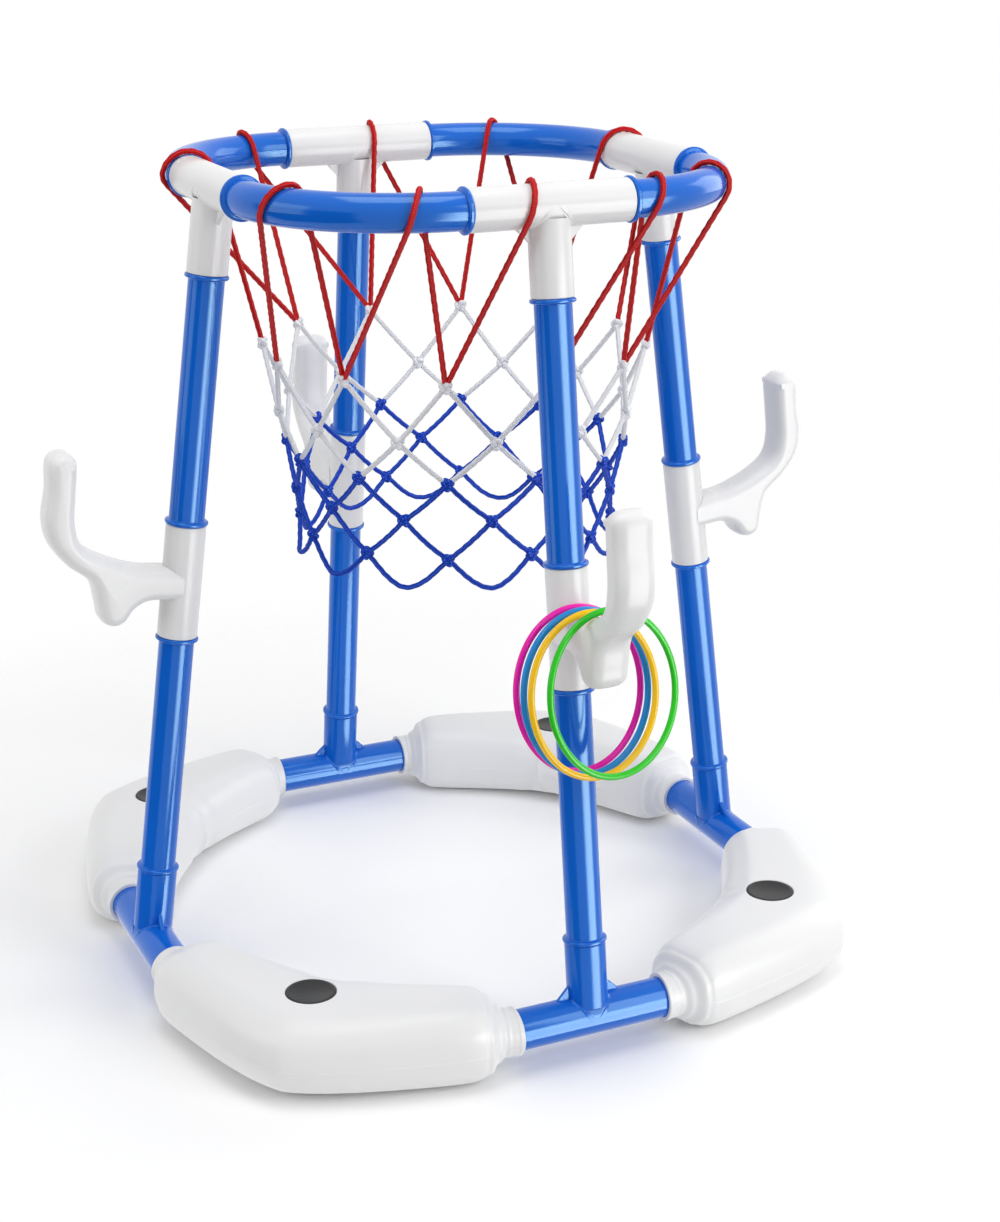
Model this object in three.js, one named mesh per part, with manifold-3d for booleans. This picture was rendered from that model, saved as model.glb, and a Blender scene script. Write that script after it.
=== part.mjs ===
// Poolside basketball hoop: four leaning legs on a ring of four floats carry a tubular rim with a
// knotted net, a hook on each leg, and four toss rings hung on the front hook.
// Lengths are in millimetres and angles in degrees. +Z is up, and the origin lies on the ground
// under the middle of the hoop. The legs stand on the axes, with the front leg on -Y.

import * as THREE from 'three';
import { mergeVertices } from 'three/addons/utils/BufferGeometryUtils.js';
import Module from 'manifold-3d';

const wasm = await Module();
wasm.setup();

// Stand: where the tees sit, and the lengths along a leg from the base tee's axis to the rim's axis
const rimReach = 200;
const baseReach = 286;
const baseStubLength = 64;
const lowerTubeShown = 214.5;
const sleeveLength = 97.5;
const upperTubeShown = 210;
const rimStubLength = 70;

// Tubes and fittings
const tubeDiameter = 30;
const tubeWall = 2;
const spigotLength = 28;
const beadDiameter = 36.5;
const beadWidth = 4;
const beadChamfer = 1.2;
const fitClearance = 0.3;
const seatGap = 0.3;
const fittingWall = 1.7;
const baseCrossHalf = 66;
const rimCrossHalf = 68;
const gussetLeg = 11;
const gussetThickness = 3;
const tubeSides = 12;
const arcSteps = 6;

// Floats: plan sizes from the hoop's middle, and heights from the neck's axis
const floatMiddleReach = 312;
const floatMiddleWidth = 122;
const floatTop = 36;
const floatBottom = 33;
const neckWall = 2.4;
const neckLead = 20;
const middleLead = 34;
const floatSides = 16;

// Fill plugs
const plugReach = 305;
const plugDiameter = 41;
const plugHead = 3;
const plugStemDiameter = 29;
const plugStemLength = 15;
const plugWall = 2.2;
const fillWellSpare = 6;
const plugSides = 12;

// Hooks: reach and heights from the leg's axis at the middle of its sleeve
const hookReach = 122;
const hookRise = 109;
const hookFootDrop = 38;
const hookArmDiameter = 31;
const hookWidth = 34.5;
const hookEdgeAcross = 13;
const hookEdgeInPlane = 8.5;
const hookEdgeSteps = 2;
const hookInnerSteps = 7;
const hookOuterSteps = 6;
const hookTongueDiameter = 22;
const hookTongueLength = 12;

// Toss rings on the front hook, turned about the upright and with their feet swung outward. They
// are spread along the arm between the sleeve and the upturned end, and a share is of the room that
// is left once the rings lie side by side.
const ringOuterDiameter = 134;
const ringThickness = 5.4;
const ringTurn = 15.5;
const ringTilt = 14;
const ringFirstShift = -8;
const ringApart = 0.3;
const ringHang = 0.3;
const ringSamples = 24;
const edgeSamples = 200;
const edgeEndShare = 0.25;
const ringSectionSides = 6;
const ringSides = 24;
const ringSpreadShares = { magenta: 0, blue: 0.062, yellow: 0.124, green: 0.515 };

// Net: each level of knots is given as shares of the net's drop below the rim's axis and of the rim's
// reach from the hoop's middle, with its offset in columns
const cordDiameter = 4;
const knotDiameter = 9;
const netColumns = 12;
const knotSides = 5;
const knotRows = 3;
const cordSides = 4;
const loopSteps = 6;
const hemSteps = 4;
const netTurn = 3;
const netDrop = 323;
const netLevelShares = [
  { drop: 0.452, reach: 0.825, offset: 0, knot: 'white' },
  { drop: 0.607, reach: 0.765, offset: 0.5, knot: 'white' },
  { drop: 0.715, reach: 0.735, offset: 0, knot: 'blue' },
  { drop: 0.82, reach: 0.7, offset: 0.5, knot: 'blue' },
  { drop: 0.923, reach: 0.685, offset: 0, knot: 'blue' },
];
const netHemShares = { drop: 1, reach: 0.695, offset: 0.5 };
const hemDroopShares = { along: 0.55, down: 0.75 };

// How far each cord loop lies past the middle of its column, as a share of a column. Two columns,
// over the left and the right rim tee, have no loop.
const loopShiftShares = [-0.1, 0.07, 0.13, 0.33, 0.4, null, 0.27, 0.23, 0.13, 0.2, -0.1, null];

// Cuts and joins run past the faces they go through by this much
const overrun = 5;

// Points nearer to each other than this are one point
const mergeDistance = 0.0003;

const colours = {
  blue: 0x1c55d8,
  white: 0xf2f3f5,
  plug: 0x2b2b2d,
  red: 0xc4141c,
  magenta: 0xe0218f,
  ringBlue: 0x1f86dc,
  yellow: 0xfbb515,
  green: 0x35c21f,
};

const roughness = {
  tube: 0.22,
  tee: 0.25,
  sleeve: 0.3,
  hook: 0.35,
  float: 0.4,
  plug: 0.6,
  ring: 0.25,
  cord: 0.7,
};

// Values worked out from the sizes above
const tubeRadius = tubeDiameter / 2;
const tubeBore = tubeRadius - tubeWall;
const socketRadius = tubeRadius + fitClearance;
const fittingRadius = socketRadius + fittingWall;
const beadRadius = beadDiameter / 2;
const neckBore = fittingRadius + fitClearance;
const neckRadius = neckBore + neckWall;
const cordRadius = cordDiameter / 2;
const knotRadius = knotDiameter / 2;
const ringMiddleRadius = (ringOuterDiameter - ringThickness) / 2;
const baseHeight = floatBottom;
const legLength = baseStubLength + lowerTubeShown + sleeveLength + upperTubeShown + rimStubLength;
const legInset = baseReach - rimReach;
const lean = Math.asin(legInset / legLength);
const rimHeight = baseHeight + legLength * Math.cos(lean);
const sleeveStart = baseStubLength + lowerTubeShown;
const sleeveMiddle = sleeveStart + sleeveLength / 2;
const stations = { front: -90, right: 0, back: 90, left: 180 };
const corners = { front_right: -45, back_right: 45, back_left: 135, front_left: 225 };

const radians = THREE.MathUtils.degToRad;

// Solids: a closed geometry becomes a manifold, and a manifold becomes a geometry
function solid(geometry) {
  const bare = new THREE.BufferGeometry();
  bare.setAttribute('position', geometry.getAttribute('position').clone());
  if (geometry.index) bare.setIndex(geometry.index.clone());
  const merged = mergeVertices(bare, mergeDistance);
  const index = merged.index.array;
  const kept = [];
  for (let i = 0; i < index.length; i += 3) {
    const [a, b, c] = index.slice(i, i + 3);
    if (a !== b && b !== c && c !== a) kept.push(a, b, c);
  }
  return new wasm.Manifold(new wasm.Mesh({
    numProp: 3,
    vertProperties: new Float32Array(merged.getAttribute('position').array),
    triVerts: new Uint32Array(kept),
  }));
}

function geometryOf(manifold) {
  const mesh = manifold.getMesh();
  const geometry = new THREE.BufferGeometry();
  geometry.setAttribute('position', new THREE.BufferAttribute(mesh.vertProperties, mesh.numProp));
  geometry.setIndex(new THREE.BufferAttribute(mesh.triVerts, 1));
  const split = geometry.toNonIndexed();
  split.computeVertexNormals();
  return split;
}

// A profile of [radius, height] points turned about Z
function revolved(profile, sides) {
  const points = profile.map(([radius, height]) => new THREE.Vector2(radius, height));
  return new THREE.LatheGeometry(points, sides).rotateX(Math.PI / 2);
}

// A round bar along Z between two heights
function bar(radius, low, high, sides) {
  return revolved([[0, low], [radius, low], [radius, high], [0, high]], sides);
}

// A bar that cuts a bore: its flat sides clear the bore's radius, whichever way they are turned
function borer(radius, low, high, sides) {
  return bar(radius / Math.cos(Math.PI / sides), low, high, sides);
}

// A closed skin over a row of rings with the same number of points, capped at both ends
function lofted(rings) {
  const count = rings[0].length;
  const positions = rings.flat().flatMap((point) => point.toArray());
  const index = [];
  for (let row = 0; row + 1 < rings.length; row += 1) {
    for (let i = 0; i < count; i += 1) {
      const here = row * count + i;
      const next = row * count + (i + 1) % count;
      index.push(here, next, here + count, next, next + count, here + count);
    }
  }
  const last = (rings.length - 1) * count;
  for (let i = 1; i + 1 < count; i += 1) {
    index.push(0, i + 1, i, last, last + i, last + i + 1);
  }
  const geometry = new THREE.BufferGeometry();
  geometry.setAttribute('position', new THREE.Float32BufferAttribute(positions, 3));
  geometry.setIndex(index);
  return geometry;
}

// Legs: a tube whose end is a spigot, stopped in its fitting by a rolled bead
function beadProfile(start, toward) {
  return [
    [tubeRadius, start],
    [beadRadius, start],
    [beadRadius, start + toward * (beadWidth - beadChamfer)],
    [tubeRadius, start + toward * beadWidth],
  ];
}

function legTubeGeometry(length) {
  const shown = length - 2 * seatGap;
  const low = beadProfile(0, 1);
  const high = beadProfile(shown, -1).reverse();
  const profile = [
    [tubeBore, -spigotLength],
    [tubeRadius, -spigotLength],
    ...low,
    ...high,
    [tubeRadius, shown + spigotLength],
    [tubeBore, shown + spigotLength],
    [tubeBore, -spigotLength],
  ];
  return revolved(profile, tubeSides);
}

// Tees: a cross pipe along Y and a stub along Z, with a gusset in each corner and open bores
function gussetPlate() {
  const outline = new THREE.Shape();
  const reach = fittingRadius + gussetLeg;
  outline.moveTo(-reach, 0);
  outline.lineTo(reach, 0);
  outline.lineTo(reach, fittingRadius);
  outline.lineTo(fittingRadius, reach);
  outline.lineTo(-fittingRadius, reach);
  outline.lineTo(-reach, fittingRadius);
  outline.closePath();
  const plate = new THREE.ExtrudeGeometry(outline, { depth: gussetThickness, bevelEnabled: false });
  plate.translate(0, 0, -gussetThickness / 2);
  return plate.rotateX(Math.PI / 2).rotateZ(Math.PI / 2);
}

function teeGeometry(crossHalf, stubLength) {
  const cross = bar(fittingRadius, -crossHalf, crossHalf, tubeSides);
  const crossBore = borer(socketRadius, -crossHalf - overrun, crossHalf + overrun, tubeSides);
  const stub = bar(fittingRadius, 0, stubLength, tubeSides);
  const stubBore = borer(socketRadius, 0, stubLength + overrun, tubeSides);
  return geometryOf(solid(cross.rotateX(Math.PI / 2))
    .add(solid(stub))
    .add(solid(gussetPlate()))
    .subtract(solid(crossBore.rotateX(Math.PI / 2)))
    .subtract(solid(stubBore)));
}

// Sleeve: the short fitting at mid leg, with a side hole that takes the hook's tongue
function sleeveGeometry() {
  const half = sleeveLength / 2;
  const hole = borer(hookTongueDiameter / 2 + fitClearance, 0, fittingRadius + overrun, tubeSides);
  return geometryOf(solid(bar(fittingRadius, -half, half, tubeSides))
    .subtract(solid(borer(socketRadius, -half - overrun, half + overrun, tubeSides)))
    .subtract(solid(hole.rotateY(Math.PI / 2))));
}

// Hook: outline in the plane of the leg, x outward from the leg's axis and y along the leg.
// Shares are of the hook's reach across, and of its rise above or its foot's drop below the arm.
const hookInnerShares = [
  [0.34, 0.125], [0.56, 0.19], [0.73, 0.29], [0.79, 0.45], [0.8, 0.66], [0.805, 0.9],
];
const hookTopShares = [[0.83, 0.965], [0.9, 1], [0.975, 0.965]];
const hookOuterShares = [[1, 0.89], [0.99, 0.7], [1, 0.48], [0.95, 0.29], [0.82, 0.13], [0.66, 0.005]];
const hookFootShares = [[0.57, -0.78], [0.54, -0.94], [0.47, -1], [0.4, -0.9], [0.34, -0.55]];

function hookPoint([across, along]) {
  return new THREE.Vector2(across * hookReach, along * (along < 0 ? hookFootDrop : hookRise));
}

function hookInnerEdge() {
  const root = new THREE.Vector2(0, hookArmDiameter / 2);
  const curve = new THREE.SplineCurve([root, ...hookInnerShares.map(hookPoint)]);
  return curve.getSpacedPoints(hookInnerSteps);
}

function hookOutline() {
  const arm = hookArmDiameter / 2;
  const outer = new THREE.SplineCurve(hookOuterShares.map(hookPoint));
  const points = [
    ...hookInnerEdge(),
    ...hookTopShares.map(hookPoint),
    ...outer.getSpacedPoints(hookOuterSteps),
    ...hookFootShares.map(hookPoint),
    new THREE.Vector2(fittingRadius + beadWidth, -arm),
    new THREE.Vector2(0, -arm),
  ];
  return new THREE.Shape(points);
}

function hookGeometry() {
  const depth = hookWidth - 2 * hookEdgeAcross;
  const moulding = new THREE.ExtrudeGeometry(hookOutline(), {
    depth,
    bevelThickness: hookEdgeAcross,
    bevelSize: hookEdgeInPlane,
    bevelOffset: -hookEdgeInPlane,
    bevelSegments: hookEdgeSteps,
  });
  moulding.translate(0, 0, -depth / 2);
  moulding.rotateX(Math.PI / 2);
  const tongueStart = fittingRadius - hookTongueLength;
  const tongue = bar(hookTongueDiameter / 2, tongueStart, fittingRadius + overrun, tubeSides);
  const seat = bar(fittingRadius + seatGap, -hookReach, hookReach, tubeSides);
  return geometryOf(solid(moulding)
    .subtract(solid(seat))
    .add(solid(tongue.rotateY(Math.PI / 2))));
}

// The arm's upper edge as it stands on the leaning leg: level and upright from its sleeve's middle
function standingArmEdge() {
  const middle = new THREE.Vector2(0, 0);
  const edge = new THREE.Path().setFromPoints(hookInnerEdge());
  return edge.getSpacedPoints(edgeSamples).map((point) => point.rotateAround(middle, lean));
}

// Rim arc: a quarter turn of tube between two rim tees, with a straight spigot and a bead at each
// end. It is drawn about the hoop's middle with its ends on the first station's and next tee's axes.
// Places along it are measured from the mouth of the first tee.
const rimBend = rimReach - rimCrossHalf;
const rimBendLength = rimBend * Math.PI / 2;

function rimArcRing([radius, place]) {
  const onBend = THREE.MathUtils.clamp(place, 0, rimBendLength);
  const turn = onBend / rimBend;
  const outward = new THREE.Vector3(Math.cos(turn), Math.sin(turn), 0);
  const along = new THREE.Vector3(-Math.sin(turn), Math.cos(turn), 0);
  const centre = new THREE.Vector3(rimCrossHalf, rimCrossHalf, 0)
    .addScaledVector(outward, rimBend)
    .addScaledVector(along, place - onBend);
  const ringPoint = (point) => centre.clone().addScaledVector(outward, point.y).setZ(point.x);
  return circlePoints(radius).map(ringPoint);
}

function rimArcGeometry() {
  const tip = -spigotLength;
  const tail = rimBendLength + spigotLength;
  const bends = [];
  for (let i = 1; i < arcSteps; i += 1) bends.push(rimBendLength * i / arcSteps);
  const outside = [
    [tubeRadius, tip],
    ...beadProfile(seatGap, 1),
    ...bends.map((place) => [tubeRadius, place]),
    ...beadProfile(rimBendLength - seatGap, -1).reverse(),
    [tubeRadius, tail],
  ];
  const inside = [tip - overrun, 0, ...bends, rimBendLength, tail + overrun];
  const bore = lofted(inside.map((place) => rimArcRing([tubeBore, place])));
  return geometryOf(solid(lofted(outside.map(rimArcRing))).subtract(solid(bore)));
}

function circlePoints(radius) {
  const points = [];
  for (let i = 0; i < tubeSides; i += 1) {
    const turn = 2 * Math.PI * i / tubeSides;
    points.push(new THREE.Vector2(radius * Math.cos(turn), radius * Math.sin(turn)));
  }
  return points;
}

// Float: plan drawn with x along the corner's diagonal and y across it. The centre line runs from
// one neck's mouth, along that neck's axis, and bends to the middle; the other half mirrors it.
// Each row is the place along that half, then shares of the growth in width and in height from the
// neck to the middle of the float.
const floatRowShares = [
  [0, 0, 0], [0.1, 0, 0], [0.16, 0.12, 0.2], [0.21, 0.33, 0.62], [0.29, 0.44, 0.93],
  [0.45, 0.55, 1], [0.72, 0.78, 1], [1, 1, 1],
];

// Shape of the float's section, as shares of its half width and of its height above or below the
// neck's axis, from the top round the outer side to the underside
const floatSectionShares = [
  [0, 1], [0.42, 1], [0.77, 0.8], [0.945, 0.48], [1, 0], [0.945, -0.48], [0.77, -0.79], [0.42, -1], [0, -1],
];

function neckMouth() {
  return new THREE.Vector3((baseCrossHalf + seatGap + baseReach) * Math.SQRT1_2,
    -(baseReach - baseCrossHalf - seatGap) * Math.SQRT1_2, 0);
}

function floatHalfLine() {
  const mouth = neckMouth();
  const into = new THREE.Vector3(Math.SQRT1_2, Math.SQRT1_2, 0);
  const middle = new THREE.Vector3(floatMiddleReach, 0, 0);
  return new THREE.CubicBezierCurve3(
    mouth,
    mouth.clone().addScaledVector(into, neckLead),
    middle.clone().add(new THREE.Vector3(0, -middleLead, 0)),
    middle,
  );
}

function floatRing(line, [place, widthShare, heightShare]) {
  const centre = line.getPoint(place);
  const along = line.getTangent(place);
  const outward = new THREE.Vector3(along.y, -along.x, 0);
  const halfWidth = THREE.MathUtils.lerp(neckRadius, floatMiddleWidth / 2, widthShare);
  const ring = [];
  for (let i = 0; i < floatSides; i += 1) {
    const turn = 2 * Math.PI * i / floatSides;
    const half = floatSides / 2;
    const [across, up] = floatSectionShares[i <= half ? i : floatSides - i];
    const side = i <= half ? 1 : -1;
    const extent = up > 0 ? floatTop : floatBottom;
    const round = new THREE.Vector2(Math.sin(turn) * halfWidth, Math.cos(turn) * neckRadius);
    const full = new THREE.Vector2(side * across * halfWidth, up * extent);
    const point = round.lerp(full, heightShare);
    ring.push(centre.clone().addScaledVector(outward, point.x).setZ(point.y));
  }
  return ring;
}

function mirrored(ring) {
  const flip = (point) => new THREE.Vector3(point.x, -point.y, point.z);
  return ring.map(flip);
}

function floatGeometry() {
  const line = floatHalfLine();
  const half = floatRowShares.map((row) => floatRing(line, row));
  const rest = half.slice(0, -1).reverse().map(mirrored);
  const body = solid(lofted([...half, ...rest]));
  const mouth = neckMouth();
  const depth = spigotLength + seatGap;
  const socket = borer(neckBore, -overrun, depth, tubeSides).rotateY(Math.PI / 2);
  const first = socket.clone().rotateZ(Math.PI / 4).translate(mouth.x, mouth.y, 0);
  const second = socket.clone().rotateZ(-Math.PI / 4).translate(mouth.x, -mouth.y, 0);
  const wellFloor = floatTop - plugHead - plugStemLength - fillWellSpare;
  const recessFloor = floatTop - plugHead - seatGap;
  const recess = borer(plugDiameter / 2 + fitClearance, recessFloor, floatTop + overrun, plugSides);
  const well = borer(plugStemDiameter / 2 + fitClearance, wellFloor, floatTop, plugSides);
  return geometryOf(body
    .subtract(solid(first))
    .subtract(solid(second))
    .subtract(solid(recess.translate(plugReach, 0, 0)))
    .subtract(solid(well.translate(plugReach, 0, 0))));
}

// Fill plug: a flush head and a hollow stem that presses into the float's well
function plugGeometry() {
  const head = plugDiameter / 2;
  const stem = plugStemDiameter / 2;
  const profile = [
    [0, -plugHead],
    [stem - plugWall, -plugHead],
    [stem - plugWall, -plugHead - plugStemLength],
    [stem, -plugHead - plugStemLength],
    [stem, -plugHead],
    [head, -plugHead],
    [head, 0],
    [0, 0],
  ];
  return revolved(profile, plugSides);
}

// Net: knots, straight cords between them, and a loop of cord over the rim. Each panel holds one
// column; a cord that ends on the next panel's knot stops just short of it.
function knotPlace(column, level) {
  const turn = radians(netTurn + (column + level.offset) * 360 / netColumns);
  const reach = level.reach * rimReach;
  const height = rimHeight - level.drop * netDrop;
  return new THREE.Vector3(reach * Math.cos(turn), reach * Math.sin(turn), height);
}

function cordBetween(from, to, fromShort, toShort) {
  const along = to.clone().sub(from).normalize();
  const start = from.clone().addScaledVector(along, fromShort);
  const end = to.clone().addScaledVector(along, -toShort);
  const length = start.distanceTo(end);
  const cord = new THREE.CylinderGeometry(cordRadius, cordRadius, length, cordSides, 1);
  cord.translate(0, length / 2, 0);
  cord.applyQuaternion(new THREE.Quaternion().setFromUnitVectors(new THREE.Vector3(0, 1, 0), along));
  return cord.translate(start.x, start.y, start.z);
}

function knotAt(place) {
  return new THREE.SphereGeometry(knotRadius, knotSides, knotRows).translate(place.x, place.y, place.z);
}

function cordAlong(points, steps) {
  const path = new THREE.CatmullRomCurve3(points);
  const section = [];
  for (let i = 0; i < cordSides; i += 1) {
    const turn = 2 * Math.PI * i / cordSides;
    section.push(new THREE.Vector2(cordRadius * Math.cos(turn), cordRadius * Math.sin(turn)));
  }
  return new THREE.ExtrudeGeometry(new THREE.Shape(section), { steps, extrudePath: path });
}

// Where the rim's axis lies in a direction from the hoop's middle, and the radius of what is there
function rimAt(angle) {
  const quarter = Math.round(angle / 90) * 90;
  const off = radians(angle - quarter);
  const onTee = Math.abs(Math.tan(off)) * rimReach < rimCrossHalf;
  if (onTee) {
    const spot = new THREE.Vector3(rimReach, rimReach * Math.tan(off), 0);
    const outward = new THREE.Vector3(1, 0, 0);
    const axis = new THREE.Vector3(0, 0, 1);
    return {
      spot: spot.applyAxisAngle(axis, radians(quarter)),
      outward: outward.applyAxisAngle(axis, radians(quarter)),
      radius: fittingRadius,
    };
  }
  const direction = new THREE.Vector2(Math.cos(radians(angle)), Math.sin(radians(angle)));
  const bendCentre = new THREE.Vector2(Math.sign(direction.x), Math.sign(direction.y));
  bendCentre.multiplyScalar(rimCrossHalf);
  const along = direction.dot(bendCentre);
  const aside = bendCentre.lengthSq() - along * along;
  const reach = along + Math.sqrt(rimBend * rimBend - aside);
  const flat = direction.multiplyScalar(reach);
  const outward = flat.clone().sub(bendCentre).normalize();
  const chordSag = rimBend * (1 - Math.cos(Math.PI / 4 / arcSteps));
  return {
    spot: new THREE.Vector3(flat.x, flat.y, 0),
    outward: new THREE.Vector3(outward.x, outward.y, 0),
    radius: tubeRadius + chordSag,
  };
}

// The loop wraps the rim from the outer to the inner tangent of its two cords
function loopWrap(column) {
  const shift = loopShiftShares[column];
  const angle = netTurn + (column + 0.5 + shift) * 360 / netColumns;
  const rim = rimAt(angle);
  const wrap = rim.radius + seatGap + cordRadius;
  const centre = rim.spot.clone().setZ(rimHeight);
  const tangentTurn = (knot, side) => {
    const offset = knot.clone().sub(centre);
    const flat = new THREE.Vector2(offset.dot(rim.outward), offset.z);
    return flat.angle() + side * Math.acos(wrap / flat.length());
  };
  const from = tangentTurn(knotPlace(column, netLevelShares[0]), 1) - 2 * Math.PI;
  const to = tangentTurn(knotPlace(column + 1, netLevelShares[0]), -1);
  const chordReach = wrap / Math.cos((to - from) / loopSteps / 2);
  const over = [];
  for (let i = 0; i <= loopSteps; i += 1) {
    const turn = THREE.MathUtils.lerp(from, to, i / loopSteps);
    const reach = i === 0 || i === loopSteps ? wrap : chordReach;
    const point = centre.clone().addScaledVector(rim.outward, reach * Math.cos(turn));
    over.push(point.setZ(rimHeight + reach * Math.sin(turn)));
  }
  return over;
}

// The red cords of one column: its own loop with the outer cord, and the inner cord of the loop
// before it, which meets that loop's end
function redCords(column) {
  const knot = knotPlace(column, netLevelShares[0]);
  const before = (column + netColumns - 1) % netColumns;
  const cords = [];
  if (loopShiftShares[column] !== null) {
    const over = loopWrap(column);
    cords.push(cordAlong(over, over.length - 1), cordBetween(knot, over[0], 0, -cordRadius));
  }
  if (loopShiftShares[before] !== null) {
    const over = loopWrap(before);
    cords.push(cordBetween(knot, over[over.length - 1], 0, cordRadius));
  }
  return cords;
}

function hemCord(column) {
  const fifth = netLevelShares[netLevelShares.length - 1];
  const start = knotPlace(column, fifth);
  const end = knotPlace(column + 1, fifth);
  const low = knotPlace(column, netHemShares);
  const stop = end.clone().add(low.clone().sub(end).setLength(knotRadius + seatGap));
  const droop = (from) => from.clone().lerp(low, hemDroopShares.along)
    .setZ(THREE.MathUtils.lerp(from.z, low.z, hemDroopShares.down));
  return cordAlong([start, droop(start), low, droop(stop), stop], hemSteps);
}

function netPanelGeometry(column) {
  const pieces = [];
  const stop = knotRadius + seatGap;
  netLevelShares.forEach((level, row) => {
    const here = knotPlace(column, level);
    pieces.push(knotAt(here));
    const above = netLevelShares[row - 1];
    const onColumn = level.offset === 0;
    if (above) {
      const aboveHere = knotPlace(column, above);
      const from = onColumn ? aboveHere : here;
      const next = knotPlace(column + 1, onColumn ? level : above);
      pieces.push(cordBetween(aboveHere, here, 0, 0), cordBetween(from, next, 0, stop));
    }
  });
  pieces.push(...redCords(column), hemCord(column));
  const whole = pieces.map(solid).reduce((sum, piece) => sum.add(piece));
  return paintedByHeight(geometryOf(whole));
}

// Red cord down to the first white knots, white down to the first blue ones, and blue below
function paintedByHeight(geometry) {
  const position = geometry.getAttribute('position');
  const topOf = (colour) => {
    const first = netLevelShares.find((level) => level.knot === colour);
    return rimHeight - first.drop * netDrop + knotRadius;
  };
  const whiteTop = topOf('white');
  const blueTop = topOf('blue');
  const tints = [];
  for (let i = 0; i < position.count; i += 3) {
    const middle = (position.getZ(i) + position.getZ(i + 1) + position.getZ(i + 2)) / 3;
    const name = middle > whiteTop ? 'red' : (middle > blueTop ? 'white' : 'blue');
    const tint = new THREE.Color(colours[name]).toArray();
    tints.push(...tint, ...tint, ...tint);
  }
  geometry.setAttribute('color', new THREE.Float32BufferAttribute(tints, 3));
  return geometry;
}

// Materials
function plastic(colour, finish) {
  return new THREE.MeshStandardMaterial({ color: colour, roughness: finish, metalness: 0 });
}

function cordMaterial() {
  return new THREE.MeshStandardMaterial({ vertexColors: true, roughness: roughness.cord, metalness: 0 });
}

function named(name, geometry, material) {
  const mesh = new THREE.Mesh(geometry, material);
  mesh.name = name;
  return mesh;
}

// Assembly
function legGroup(name) {
  const group = new THREE.Group();
  group.position.set(baseReach, 0, baseHeight);
  group.rotation.y = -lean;
  const crossEnd = baseCrossHalf + spigotLength;
  const baseTeeShape = teeGeometry(crossEnd, baseStubLength);
  const baseTee = named(`base_tee_${name}`, baseTeeShape, plastic(colours.blue, roughness.tee));
  const lowerTube = legTubeGeometry(lowerTubeShown);
  const lowerLeg = named(`lower_leg_${name}`, lowerTube, plastic(colours.blue, roughness.tube));
  lowerLeg.position.z = baseStubLength + seatGap;
  const sleeve = named(`hook_sleeve_${name}`, sleeveGeometry(), plastic(colours.white, roughness.sleeve));
  sleeve.position.z = sleeveMiddle;
  const hook = named(`hook_${name}`, hookGeometry(), plastic(colours.white, roughness.hook));
  hook.position.z = sleeveMiddle;
  const upperTube = legTubeGeometry(upperTubeShown);
  const upperLeg = named(`upper_leg_${name}`, upperTube, plastic(colours.blue, roughness.tube));
  upperLeg.position.z = sleeveStart + sleeveLength + seatGap;
  const rimTeeShape = teeGeometry(rimCrossHalf, rimStubLength);
  const rimTee = named(`rim_tee_${name}`, rimTeeShape, plastic(colours.white, roughness.tee));
  rimTee.position.z = legLength;
  rimTee.rotation.x = Math.PI;
  group.add(baseTee, lowerLeg, sleeve, hook, upperLeg, rimTee);
  return group;
}

function stationGroup(name, turn) {
  const group = new THREE.Group();
  group.rotation.z = radians(turn);
  const arc = named(`rim_arc_after_${name}`, rimArcGeometry(), plastic(colours.blue, roughness.tube));
  arc.position.z = rimHeight;
  group.add(legGroup(name), arc);
  return group;
}

function cornerGroup(name, turn) {
  const group = new THREE.Group();
  group.rotation.z = radians(turn);
  group.position.z = baseHeight;
  const float = named(`float_${name}`, floatGeometry(), plastic(colours.white, roughness.float));
  const plug = named(`fill_plug_${name}`, plugGeometry(), plastic(colours.plug, roughness.plug));
  plug.position.set(plugReach, 0, floatTop);
  group.add(float, plug);
  return group;
}

// Height at which a round bar laid across the arm clears its upper edge all round
function restHeight(edge, across, clearance) {
  const near = edge.filter((point) => Math.abs(point.x - across) < clearance);
  const above = (point) => point.y + Math.sqrt(clearance ** 2 - (point.x - across) ** 2);
  return Math.max(...near.map(above));
}

// A turned and tilted ring: how far outward, sideways and up from its middle a point of its middle
// line lies, from the point's place to the side and upward in the ring's own plane
function onRing(side, upward) {
  const turn = radians(ringTurn);
  const inward = upward * Math.sin(radians(ringTilt));
  return {
    outward: -side * Math.sin(turn) - inward * Math.cos(turn),
    sideways: side * Math.cos(turn) - inward * Math.sin(turn),
    up: upward * Math.cos(radians(ringTilt)),
  };
}

// How far up in its own plane a ring's middle line lies at a place to the side, on the straight
// between two corners of the ring
function ringUpward(side) {
  const step = 2 * Math.PI / ringSides;
  const fromTop = Math.asin(Math.abs(side) / ringMiddleRadius);
  const before = Math.floor(fromTop / step) * step;
  const after = before + step;
  const sagSlope = Math.tan((before + after) / 2);
  const pastCorner = Math.abs(side) - ringMiddleRadius * Math.sin(before);
  return ringMiddleRadius * Math.cos(before) - pastCorner * sagSlope;
}

// Height of a ring's middle above the middle of the sleeve when it hangs on the arm, found as the
// highest of the heights at which the arm's rounded upper side meets the ring across its width
function ringHeight(edge, reach, aside) {
  const flatHalf = hookWidth / 2 - hookEdgeAcross;
  let height = -Infinity;
  for (let i = 0; i <= ringSamples; i += 1) {
    const side = (i / ringSamples - 0.5) * 2 * hookWidth;
    const point = onRing(side, ringUpward(side));
    const offMiddle = Math.abs(aside + point.sideways);
    if (offMiddle < hookWidth / 2) {
      const past = Math.max(0, offMiddle - flatHalf) / hookEdgeAcross;
      const roundedOff = hookEdgeInPlane * (1 - Math.sqrt(1 - past * past));
      const rest = restHeight(edge, reach + point.outward, ringThickness / 2 + ringHang);
      height = Math.max(height, rest - roundedOff - point.up);
    }
  }
  return height;
}

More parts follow.
